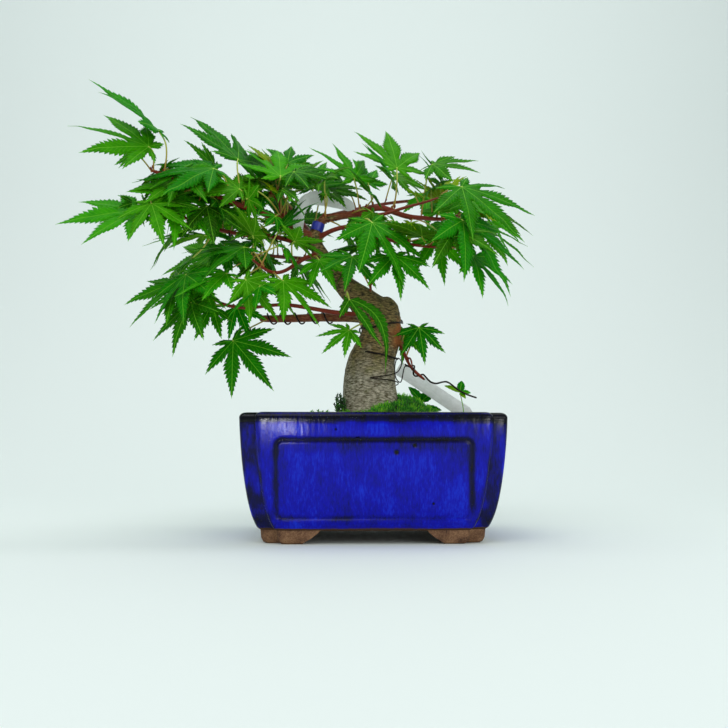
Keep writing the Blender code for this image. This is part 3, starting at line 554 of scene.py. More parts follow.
@dataclass(frozen=True)
class MapleBark:
    """Young mountain-maple bark, grown.

    The old butt is pale grey and finely cross-wrinkled with dark specks, the middle of the
    trunk is browner, and wood under a few millimetres thick keeps its smooth red skin.
    """
    grey: str = "#cdc5ae"
    grey_dark: str = "#575039"
    brown: str = "#a68c58"
    brown_dark: str = "#332b16"
    callus: str = "#b0602a"
    twig: str = "#a83c20"
    twig_dark: str = "#4c1408"
    lichen: str = "#6f7a34"

    def material(self, collar: Vector) -> bpy.types.Material:
        """Write the nodes; the mesh carries girth in centimetres and height as a share.

        Args:
            collar: Where the bark healed over a cut, in metres.

        Returns:
            The finish.
        """
        recipe = Recipe("maple_bark")
        n = recipe.add
        girth = n("Attribute", out="Fac", attribute_name="girth")
        height = n("Attribute", out="Fac", attribute_name="height")
        flat = n("Mapping", recipe.place, Scale=(0.45, 0.45, 1.3))
        speck = n("TexNoise", flat, Scale=per(1.0), Detail=5.0, Roughness=0.75)
        crackle = n("TexVoronoi", flat, Scale=per(1.5), Randomness=1.0)
        patch = n("TexNoise", recipe.place, Scale=per(9), Detail=3.0)
        dots = n("Math", speck, n("Math", crackle, 0.35, operation="MULTIPLY"),
                 operation="SUBTRACT")
        grain = n("MapRange", dots, 0.18, 0.52)
        old = n("Mix", grain, self.grey_dark, self.grey, data_type="RGBA")
        mid = n("Mix", grain, self.brown_dark, self.brown, data_type="RGBA")
        level = n("Math", patch, 0.30, n("Math", height, -0.15, operation="ADD"),
                  operation="MULTIPLY_ADD")
        higher = n("MapRange", level, 0.30, 0.52)
        # the collar above the basal shoot is healed over, raw orange
        reach = n("VectorMath", recipe.place, collar, operation="DISTANCE")
        ragged = n("Math", patch, 0.012, reach, operation="MULTIPLY_ADD")
        healed = n("MapRange", ragged, 0.012, 0.018, 0.75, 0.0)
        warm = n("Mix", healed, mid, self.callus, data_type="RGBA")
        trunk = n("Mix", higher, old, warm, data_type="RGBA")
        green = n("MapRange", patch, 0.54, 0.72, 0.0, 0.35)
        grown = n("Mix", green, trunk, self.lichen, data_type="RGBA")
        red = n("Mix", speck, self.twig_dark, self.twig, data_type="RGBA")
        thin = n("MapRange", girth, 0.42, 0.85, 1.0, 0.0)
        colour = n("Mix", thin, grown, red, data_type="RGBA")
        rough = n("MapRange", thin, 0.0, 1.0, 0.8, 0.42)
        wrinkle = n("TexNoise", flat, Scale=per(0.7), Detail=4.0)
        deep = n("Bump", Height=grain, Distance=0.35 * MM, Strength=0.8)
        bump = n("Bump", Height=wrinkle, Distance=0.15 * MM, Strength=0.8, Normal=deep)
        return recipe.close(Base_Color=colour, Roughness=rough, Normal=bump,
                            Specular_IOR_Level=0.35)


class LeafSide(Enum):
    """The two faces of a blade."""
    UPPER = "upper"
    UNDER = "under"


@dataclass(frozen=True)
class LeafGreen:
    """A maple blade: waxy green above, paler and matt beneath, with pale raised veins.

    It is thin enough for light to come through, so it glows where it is lit from behind.
    """
    side: LeafSide
    shade: str
    flesh: str
    sunlit: str
    young: str
    vein: str
    rough: float

    def material(self) -> bpy.types.Material:
        """Write the nodes; the mesh carries the vein map, its tone and its youth.

        Returns:
            The finish.
        """
        recipe = Recipe("maple_blade_" + self.side.value)
        n = recipe.add
        along = n("Attribute", out="Fac", attribute_name="along")
        across = n("Attribute", out="Fac", attribute_name="across")
        tone = n("Attribute", out="Fac", attribute_name="tone")
        youth = n("Attribute", out="Fac", attribute_name="youth")
        # the midrib is half a millimetre wide; side veins run out to each tooth
        rib = n("MapRange", across, 0.10, 0.30, 0.8, 0.0)
        slant = n("Math", across, -1.25, along, operation="MULTIPLY_ADD")
        phase = n("Math", n("Math", slant, 3.2, operation="DIVIDE"), operation="FRACT")
        near = n("Math", n("Math", phase, 0.5, operation="SUBTRACT"), operation="ABSOLUTE")
        side = n("MapRange", near, 0.02, 0.08, 0.3, 0.0)
        veins = n("Math", rib, side, operation="MAXIMUM")
        net = n("TexVoronoi", recipe.place, Scale=per(1.4), feature="DISTANCE_TO_EDGE")
        cloud = n("TexNoise", recipe.place, Scale=per(6), Detail=3.0)
        # the tone gives each leaf its painted light, from the shade stop to the sunlit one, clouded
        # by noise
        depth = n("Math", cloud, 0.5, n("Math", tone, -0.25, operation="ADD"),
                  operation="MULTIPLY_ADD")
        green = n("ValToRGB", depth,
                  stops=((0.0, self.shade), (1.0, self.sunlit), (0.5, self.flesh)))
        fresh = n("Mix", youth, green, self.young, data_type="RGBA")
        colour = n("Mix", veins, fresh, self.vein, data_type="RGBA")
        quilt = n("Math", veins, -1.0, n("Math", net, 0.5, operation="MULTIPLY"),
                  operation="MULTIPLY_ADD")
        bump = n("Bump", Height=quilt, Distance=0.12 * MM, Strength=0.7)
        return recipe.close(Base_Color=colour, Roughness=self.rough, Normal=bump,
                            Specular_IOR_Level=0.06, Subsurface_Weight=0.3,
                            Subsurface_Radius=(0.6, 1.0, 0.2), Subsurface_Scale=0.8 * MM)


UPPER_BLADE = LeafGreen(LeafSide.UPPER, shade="#022e00", flesh="#0b7c00", sunlit="#46ae00",
                        young="#8a9a00", vein="#74bc30", rough=0.52)
UNDER_BLADE = LeafGreen(LeafSide.UNDER, shade="#144c00", flesh="#308c04", sunlit="#6cb810",
                        young="#a2a810", vein="#96c844", rough=0.62)


@dataclass(frozen=True)
class StalkGreen:
    """A leaf stalk: smooth yellow-green flesh that reddens towards the wood."""
    leaf_end: str = "#b6d050"
    wood_end: str = "#b07a30"

    def material(self) -> bpy.types.Material:
        """Write the nodes; the mesh carries how far along the stalk a point is.

        Returns:
            The finish.
        """
        recipe = Recipe("leaf_stalk")
        n = recipe.add
        along = n("Attribute", out="Fac", attribute_name="along")
        fibre = n("TexNoise", recipe.place, Scale=per(0.6), Detail=3.0)
        share = n("Math", fibre, 0.5, n("Math", along, -0.25, operation="ADD"),
                  operation="MULTIPLY_ADD")
        colour = n("Mix", share, self.leaf_end, self.wood_end, data_type="RGBA",
                   clamp_factor=True)
        bump = n("Bump", Height=fibre, Distance=0.05 * MM, Strength=0.5)
        return recipe.close(Base_Color=colour, Roughness=0.45, Normal=bump,
                            Subsurface_Weight=0.2, Subsurface_Radius=(1.0, 1.0, 0.3),
                            Subsurface_Scale=0.5 * MM)


@dataclass(frozen=True)
class TrainingWire:
    """Annealed aluminium wire, anodised dark brown, scuffed where it was bent."""
    skin: str = "#1c1512"
    scuff: str = "#5b4a40"

    def material(self) -> bpy.types.Material:
        """Write the nodes.

        Returns:
            The finish.
        """
        recipe = Recipe("anodised_aluminium_wire")
        n = recipe.add
        worn = n("TexNoise", recipe.place, Scale=per(1.2), Detail=4.0, Roughness=0.7)
        share = n("MapRange", worn, 0.52, 0.68, 0.0, 0.8)
        colour = n("Mix", share, self.skin, self.scuff, data_type="RGBA")
        rough = n("MapRange", worn, 0.0, 1.0, 0.3, 0.55)
        bump = n("Bump", Height=worn, Distance=0.04 * MM, Strength=0.5)
        return recipe.close(Base_Color=colour, Metallic=0.75, Roughness=rough, Normal=bump)


@dataclass(frozen=True)
class LabelPlastic:
    """White PVC plant label, cut from calendered sheet and a little weathered."""
    clean: str = "#f5f9fc"
    soiled: str = "#cfd4cf"

    def material(self) -> bpy.types.Material:
        """Write the nodes.

        Returns:
            The finish.
        """
        recipe = Recipe("white_pvc_label")
        n = recipe.add
        stain = n("TexNoise", recipe.place, Scale=per(7), Detail=4.0, Roughness=0.6)
        share = n("MapRange", stain, 0.45, 0.75, 0.0, 0.6)
        colour = n("Mix", share, self.clean, self.soiled, data_type="RGBA")
        grain = n("TexNoise", recipe.place, Scale=per(0.5), Detail=2.0)
        bump = n("Bump", Height=grain, Distance=0.03 * MM, Strength=0.6)
        # sheet half a millimetre thick lets the light behind it through
        return recipe.close(Base_Color=colour, Roughness=0.5, Normal=bump, IOR=1.53,
                            Subsurface_Weight=0.85, Subsurface_Radius=(1.0, 1.0, 1.0),
                            Subsurface_Scale=3 * MM)


@dataclass(frozen=True)
class VinylTape:
    """Blue vinyl tape, stretched round the branch, so that it puckers and shines."""
    blue: str = "#1a2390"
    light: str = "#3344c0"

    def material(self) -> bpy.types.Material:
        """Write the nodes.

        Returns:
            The finish.
        """
        recipe = Recipe("blue_vinyl_tape")
        n = recipe.add
        slanted = n("Mapping", recipe.place, Rotation=(0.0, 0.7, 0.0), Scale=(1.0, 1.0, 0.25))
        pucker = n("TexNoise", slanted, Scale=per(1.2), Detail=3.0)
        colour = n("Mix", pucker, self.blue, self.light, data_type="RGBA")
        bump = n("Bump", Height=pucker, Distance=0.25 * MM, Strength=0.8)
        return recipe.close(Base_Color=colour, Roughness=0.34, Normal=bump, IOR=1.54)


@dataclass(frozen=True)
class NetPlastic:
    """Black polyethylene mesh over the drain holes, extruded and dusty with silt."""
    strand: str = "#101112"
    silt: str = "#4a4034"

    def material(self) -> bpy.types.Material:
        """Write the nodes.

        Returns:
            The finish.
        """
        recipe = Recipe("polyethylene_drain_net")
        n = recipe.add
        dust = n("TexNoise", recipe.place, Scale=per(1.5), Detail=4.0)
        share = n("MapRange", dust, 0.5, 0.8, 0.0, 0.6)
        colour = n("Mix", share, self.strand, self.silt, data_type="RGBA")
        bump = n("Bump", Height=dust, Distance=0.1 * MM, Strength=0.6)
        return recipe.close(Base_Color=colour, Roughness=0.55, Normal=bump)


# ---- pot ------------------------------------------------------------------------------
@dataclass
class Pot:
    """The rectangular pot: a glazed shell with stepped corners, on four bracket feet.

    Sizes are millimetres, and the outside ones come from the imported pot's box.
    """
    wall: float = 7.0
    floor: float = 7.0
    foot_height: float = 8.0
    taper: float = 8.0
    heel: float = 4.0
    notch_long: float = 10.5
    notch_short: float = 6.0
    ease_out: float = 2.0
    ease_in: float = 1.8
    ease_corner: float = 2.8
    panel_margin: float = 22.5
    panel_low: float = 15.0
    panel_drop: float = 16.0
    panel_round: float = 5.0
    panel_sink: float = 1.2
    groove: float = 0.55
    rim_round: float = 3.5
    rim_ease: float = 0.8
    drain_radius: float = 9.0
    drain_offset: float = 34.0
    foot_lift: float = 1.4
    foot_ease: float = 0.7
    net_ribs: int = 11
    net_rib: float = 0.42
    net_weave: float = 0.28
    # how much the glaze pools: groove, panel, rim band, thin lip with its painted highlight,
    # corners, foot of the wall
    groove_pool: float = 0.58
    panel_pool: float = 0.16
    rim_pool: float = 0.68
    lip_thin_and_highlight: float = 0.42
    corner_pool: tuple[float, float] = (0.30, 0.55)
    heel_pool: float = 0.22

    def __post_init__(self) -> None:
        """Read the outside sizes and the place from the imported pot."""
        low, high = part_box("pot")
        self.centre = Vector(((low.x + high.x) / 2, (low.y + high.y) / 2, 0.0))
        self.half_x = (high.x - low.x) / 2 / MM
        self.half_y = (high.y - low.y) / 2 / MM
        self.top = high.z / MM
        self.panel_high = self.top - self.panel_drop

    def spot(self, x: float, y: float, z: float) -> Vector:
        """Point in metres from millimetres about the pot's own middle."""
        return self.centre + Vector((x, y, z)) * MM

    def wall_inset(self, z: float) -> float:
        """How far the outer wall stands in from the rim at a height."""
        fall = max(0.0, 1 - (z - self.foot_height) / (self.top - self.foot_height))
        return self.taper * fall ** 1.6 + self.heel * fall ** 8

    def corner(self, half_x: float, half_y: float) -> list[tuple[float, float]]:
        """Plan of one stepped corner, its three edges eased by arcs.

        Args:
            half_x: Half the length at this height.
            half_y: Half the depth at this height.

        Returns:
            Points from the long side round to the short side.
        """
        points = []
        turns = (
            (half_x - self.notch_long - self.ease_out, half_y - self.ease_out,
             self.ease_out, 90.0, -90.0),
            (half_x - self.notch_long + self.ease_in, half_y - self.notch_short + self.ease_in,
             self.ease_in, 180.0, 90.0),
            (half_x - self.ease_corner, half_y - self.notch_short - self.ease_corner,
             self.ease_corner, 90.0, -90.0),
        )
        for x, y, radius, start, sweep in turns:
            for share in spread(0.0, 1.0, 7):
                angle = math.radians(start + sweep * share)
                points.append((x + radius * math.cos(angle), y + radius * math.sin(angle)))
        return points

    def side_stops(self, flat: float, panel: float) -> list[float]:
        """Places along half a side, from its middle out, closer together at the panel's edge.

        Args:
            flat: Half the straight length of the side.
            panel: Half the length of its panel.

        Returns:
            Places from the middle, without the last.
        """
        inner = max(panel * 0.3, panel - self.panel_round - 1.5)
        outer = min(panel + 1.5, (panel + flat) / 2)
        stops = spread(0.0, inner, 9)[:-1] + spread(inner, outer, 17)[:-1]
        return stops + spread(outer, flat, 5)[:-1]

    def outline(self, inset: float) -> list[tuple[float, float]]:
        """Plan of the wall at an inset, always with the same number of points.

        Args:
            inset: How far it stands in from the rim's edge.

        Returns:
            Points round the pot, from the middle of its +Y side towards +X.
        """
        half_x, half_y = self.half_x - inset, self.half_y - inset
        flat_x = half_x - self.notch_long - self.ease_out
        flat_y = half_y - self.notch_short - self.ease_corner
        panel_x = min(self.half_x - self.panel_margin, flat_x * 0.88)
        panel_y = min(self.half_y - self.panel_margin, flat_y * 0.88)
        quarter = [(x, half_y) for x in self.side_stops(flat_x, panel_x)]
        quarter += self.corner(half_x, half_y)
        quarter += [(half_x, y) for y in reversed(self.side_stops(flat_y, panel_y))]
        back = [(x, -y) for x, y in reversed(quarter[:-1])]
        right = quarter + back
        return right + [(-x, y) for x, y in reversed(right[1:-1])]

    def panel_edge(self, x: float, y: float, z: float) -> float:
        """Distance inwards from the sunk panel's rounded edge; negative outside it.

        Args:
            x: Place in millimetres about the middle.
            y: Place in millimetres about the middle.
            z: Height in millimetres.

        Returns:
            Distance in millimetres.
        """
        long_side = abs(y) / self.half_y > abs(x) / self.half_x
        across = abs(x) if long_side else abs(y)
        half = (self.half_x if long_side else self.half_y) - self.panel_margin
        half_tall = (self.panel_high - self.panel_low) / 2
        dx = across - half + self.panel_round
        dz = abs(z - self.panel_low - half_tall) - half_tall + self.panel_round
        outside = math.hypot(max(dx, 0.0), max(dz, 0.0))
        return self.panel_round - outside - min(max(dx, dz), 0.0)

    def levels(self) -> list[tuple[float, float]]:
        """Height and inset of each ring, from the underside's middle out, up and in again.

        Returns:
            The rings, in millimetres.
        """
        under = self.foot_height + 0.4
        base = self.wall_inset(under) + 1.6
        rings = [(under - 0.4, base + 36.0), (under - 0.4, base + 18.0), (under - 0.4, base + 1.4),
                 (under - 0.1, base - 0.4), (under + 0.6, self.wall_inset(under) + 0.3)]
        heights = spread(under + 1.6, self.panel_low - 2.0, 4)[:-1]
        heights += spread(self.panel_low - 2.0, self.panel_low + self.panel_round + 1, 12)[:-1]
        heights += spread(self.panel_low + self.panel_round + 1,
                          self.panel_high - self.panel_round - 1, 22)[:-1]
        heights += spread(self.panel_high - self.panel_round - 1, self.panel_high + 2.0, 14)[:-1]
        heights += spread(self.panel_high + 2.0, self.top - self.rim_round, 8)[:-1]
        rings += [(z, self.wall_inset(z)) for z in heights]
        for turn in spread(0.0, 90.0, 9):
            angle = math.radians(turn)
            rings.append((self.top - self.rim_round * (1 - math.sin(angle)),
                          self.rim_round * (1 - math.cos(angle))))
        crown = self.wall - self.rim_ease
        rings += [(self.top + 0.05, (self.rim_round + crown) / 2), (self.top - 0.05, crown)]
        rings += [(self.top - 0.5, self.wall + 0.25), (self.top - 1.4, self.wall + self.rim_ease)]
        deep = self.foot_height + self.floor
        for z in (self.top - 3.5, self.top - 7.0, self.top - 20.0, deep + 15.0, deep + 2.0):
            rings.append((z, self.wall_inset(z) + self.wall + self.rim_ease))
        inside = self.wall_inset(deep) + self.wall
        return rings + [(deep, inside + 4.0), (deep, inside + 20.0), (deep, inside + 34.0)]

    def shell(self) -> bmesh.types.BMesh:
        """Walls, rim, inside and underside as one closed skin, with the panels pressed in.

        Returns:
            The skin.
        """
        levels = self.levels()
        plans = [self.outline(inset) for z, inset in levels]
        count = len(plans[0])
        outer = [i for i, (z, inset) in enumerate(levels) if inset <= self.wall_inset(z) + 0.01]

        def place(column: int, row: int) -> Vector:
            """Point of the shell; the first and last rows close it over its middle.

            Args:
                column: Point round the ring.
                row: Ring, from the underside up and in.

            Returns:
                The point.
            """
            i = min(max(row - 1, 0), len(levels) - 1)
            z = levels[i][0]
            x, y = plans[i][column % count]
            if row in (0, len(levels) + 1):
                return self.spot(0.0, 0.0, z)
            if i in outer:
                edge = self.panel_edge(x, y, z)
                sunk = self.panel_sink * eased(edge, -0.9, 0.9)
                sunk += self.groove * math.exp(-((edge - 0.9) / 0.9) ** 2)
                if abs(y) / self.half_y > abs(x) / self.half_x:
                    y -= math.copysign(sunk, y)
                else:
                    x -= math.copysign(sunk, x)
            sway = 0.22 * noise.noise(Vector((x, y, z)) * 0.045)
            return self.spot(x * (1 + sway / 80), y * (1 + sway / 60), z)

        bm = bmesh.new()
        sheet(bm, count, len(levels) + 1, place)
        bmesh.ops.remove_doubles(bm, verts=bm.verts, dist=FINE_WELD)
        bmesh.ops.recalc_face_normals(bm, faces=bm.faces)
        return bm

    def paint(self, mesh: bpy.types.Mesh) -> None:
        """Store how thick the glaze pooled, with a painted highlight along the rim's top edge, and
        where the clay stays bare.

        Args:
            mesh: The shell, which gets the attributes.
        """
        pooling_and_highlight, bare = [], []
        for vertex in mesh.vertices:
            x, y, z = (vertex.co - self.centre) / MM
            drift = noise.noise(Vector((x, y, z)) * 0.07)
            edge = self.panel_edge(x, y, z)
            half_x = self.half_x - self.wall_inset(z)
            half_y = self.half_y - self.wall_inset(z)
            hung = 0.2 + 0.8 * eased(z, self.panel_low, self.panel_low + 16) + 0.9 * drift
            pool_and_highlight = (self.groove_pool * math.exp(-((edge - 0.8) / 1.6) ** 2)
                    * min(1.0, max(0.0, hung)))
            pool_and_highlight += self.panel_pool * math.exp(-((edge - 5.0) / 4.0) ** 2) * eased(z, 34, 58)
            # the rim band, where a second dip overlapped the first
            pool_and_highlight += self.rim_pool * eased(z + 1.6 * drift, self.top - 7.4, self.top - 4.4)
            # and its outer edge, lighter where the glaze ran thin, with a painted highlight along
            # the top of the rim
            lip = 1 - eased(min(half_x - abs(x), half_y - abs(y)), 0.9, 2.2)
            pool_and_highlight -= self.lip_thin_and_highlight * lip * eased(z, self.top - 1.9, self.top - 0.9)
            # the stepped corners fill with glaze that ran together
            near = math.hypot(max(0.0, half_x - abs(x) - self.notch_long * 0.85),
                              max(0.0, half_y - abs(y) - self.notch_short * 1.6))
            streak = noise.noise(Vector((x * 0.35, y * 0.35, z * 0.03)))
            steady, streaky = self.corner_pool
            pool_and_highlight += (1 - eased(near, 0.5, 4.5)) * (steady + streaky * streak)
            pool_and_highlight += self.heel_pool * (1 - eased(z, 12.0, 24.0)) * eased(abs(x), 50, 72)
            run = noise.noise(Vector((x * 0.16, y * 0.16, z * 0.02)))
            pooling_and_highlight.append(pool_and_highlight + 0.10 * run)
            bare.append(1 - eased(z, self.foot_height + 0.8, self.foot_height + 2.8))
        for name, values in (("pooling_and_highlight", pooling_and_highlight), ("bare", bare)):
            mesh.attributes.new(name, "FLOAT", "POINT").data.foreach_set("value", values)

    def feet(self) -> bmesh.types.BMesh:
        """The four bracket feet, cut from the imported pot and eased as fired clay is.

        Returns:
            The feet.
        """
        bm = merged("pot")
        cut = self.spot(0.0, 0.0, self.foot_height - 0.25)
        everything = bm.verts[:] + bm.edges[:] + bm.faces[:]
        bmesh.ops.bisect_plane(bm, geom=everything, dist=FINE_WELD, plane_co=cut,
                               plane_no=(0, 0, 1), clear_outer=True)
        rim = [e for e in bm.edges if e.is_boundary]
        top = bmesh.ops.holes_fill(bm, edges=rim, sides=0)["faces"]
        raised = {v for f in top for v in f.verts}
        bmesh.ops.dissolve_limit(bm, angle_limit=math.radians(4), verts=bm.verts, edges=bm.edges)
        bmesh.ops.translate(bm, verts=[v for v in raised if v.is_valid],
                            vec=Vector((0, 0, self.foot_lift)) * MM)
        sharp = [e for e in bm.edges
                 if len(e.link_faces) == 2 and e.calc_face_angle() > math.radians(28)]
        bmesh.ops.bevel(bm, geom=sharp, offset=self.foot_ease * MM, offset_type="OFFSET",
                        segments=3, profile=0.5, affect="EDGES", clamp_overlap=True,
                        material=-1)
        bmesh.ops.triangulate(bm, faces=[f for f in bm.faces if len(f.verts) > 4])
        return bm

    def bored(self, piece: bpy.types.Object) -> None:
        """Cut the drain holes through the floor and apply the cuts.

        Args:
            piece: The shell.
        """
        bm = bmesh.new()
        middle = self.foot_height + self.floor / 2
        for side in (-1, 1):
            place = Matrix.Translation(self.spot(side * self.drain_offset, 0.0, middle))
            bmesh.ops.create_cone(bm, cap_ends=True, segments=48, radius1=self.drain_radius * MM,
                                  radius2=self.drain_radius * MM, depth=2 * self.floor * MM,
                                  matrix=place)
        mesh = bpy.data.meshes.new("drain_drill")
        bm.to_mesh(mesh)
        bm.free()
        drill = bpy.data.objects.new("drain_drill", mesh)
        bpy.context.scene.collection.objects.link(drill)
        cut = piece.modifiers.new("Drain", "BOOLEAN")
        cut.object = drill
        cut.solver = "EXACT"
        graph = bpy.context.evaluated_depsgraph_get()
        shaped = bpy.data.meshes.new_from_object(piece.evaluated_get(graph))
        piece.modifiers.clear()
        piece.data = shaped
        bpy.data.objects.remove(drill)

    def nets(self, finish: bpy.types.Material) -> None:
        """Weave a square of drain net over each hole, from crossing ribs.

        Args:
            finish: The net's material.
        """
        for name in ("drain_screen_left", "drain_screen_right"):
            low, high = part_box(name)
            middle = (low + high) / 2
            half = (high.x - low.x) / 2 - 0.5 * MM
            bm = bmesh.new()
            for turn in (0, 1):
                for share in spread(-1.0, 1.0, self.net_ribs):
                    path = []
                    for step in spread(-1.0, 1.0, 2 * self.net_ribs - 1):
                        wave = math.cos(math.pi * 5 * (step + turn * 0.2)) * (1 - 2 * turn)
                        place = (share * half, step * half) if turn else (step * half, share * half)
                        path.append(middle + Vector((*place, self.net_weave * MM * wave)))
                    tube(bm, path, [self.net_rib * MM] * len(path), 6)
            set_piece("net_" + name, bm, [finish], Slot.NET, [name])

    def build(self) -> None:
        """Make the shell, the feet and the nets."""
        glaze = CobaltGlaze().material(self)
        body = set_piece("pot_body", self.shell(), [glaze], Slot.GLAZE, ["pot"])
        self.bored(body)
        self.paint(body.data)
        set_piece("pot_feet", self.feet(), [BareClay().material()], Slot.GLAZE, ["pot"])
        self.nets(NetPlastic().material())
        LOG.info("pot: shell, feet and nets")


# ---- wood -----------------------------------------------------------------------------
@dataclass
class Wood:
    """Trunk, limbs and twigs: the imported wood, rounded and given the relief of its bark."""
    pot: Pot
    levels: int = 2
    collar: tuple[float, float, float] = (21.0, -6.0, 137.0)
    wrinkle: float = 0.32
    girth_unit: float = 10.0
    height_unit: float = 100.0

    def rounded(self) -> bpy.types.Mesh:
        """Merge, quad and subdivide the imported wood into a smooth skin.

        Returns:
            The skin.
        """
        bm = merged("tree_wood")
        bmesh.ops.join_triangles(bm, faces=bm.faces, angle_face_threshold=math.radians(35),
                                 angle_shape_threshold=math.radians(50))
        mesh = bpy.data.meshes.new("wood_draft")
        bm.to_mesh(mesh)
        bm.free()
        draft = bpy.data.objects.new("wood_draft", mesh)
        bpy.context.scene.collection.objects.link(draft)
        refine(draft, self.levels)
        graph = bpy.context.evaluated_depsgraph_get()
        skin = bpy.data.meshes.new_from_object(draft.evaluated_get(graph))
        bpy.data.objects.remove(draft)
        return skin

    def build(self) -> bpy.types.Object:
        """Make the wood.

        Returns:
            The finished piece.
        """
        bm = bmesh.new()
        bm.from_mesh(self.rounded())
        tree = BVHTree.FromBMesh(bm)
        girth = bm.verts.layers.float.new("girth")
        height = bm.verts.layers.float.new("height")
        soil_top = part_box("soil")[1].z
        for vertex in bm.verts:
            inside = vertex.co - vertex.normal * 0.05 * MM
            across = tree.ray_cast(inside, -vertex.normal, 0.1)[3] or 3 * MM
            vertex[girth] = across / MM / self.girth_unit
            vertex[height] = (vertex.co.z - soil_top) / MM / self.height_unit
        for _ in range(6):
            held = {v: sum(e.other_vert(v)[girth] for e in v.link_edges) / len(v.link_edges)
                    for v in bm.verts}
            for vertex, value in held.items():
                vertex[girth] = (vertex[girth] + value) / 2
        for vertex in bm.verts:
            x, y, z = vertex.co / MM
            thick = eased(vertex[girth], 0.35, 1.6)
            rings = noise.noise(Vector((x * 0.10, y * 0.10, z * 0.55)))
            lumps = noise.noise(Vector((x, y, z)) * 0.16)
            grit = noise.noise(Vector((x, y, z)) * 0.75)
            rise = self.wrinkle * (0.8 * rings + 1.3 * lumps + 0.35 * grit)
            vertex.co += vertex.normal * rise * MM * (0.25 + 0.75 * thick)
        finish = MapleBark().material(self.pot.spot(*self.collar))
        wood = set_piece("maple_wood", bm, [finish], Slot.BARK, ["tree_wood"])
        LOG.info("wood: %d faces", len(wood.data.polygons))
        return wood


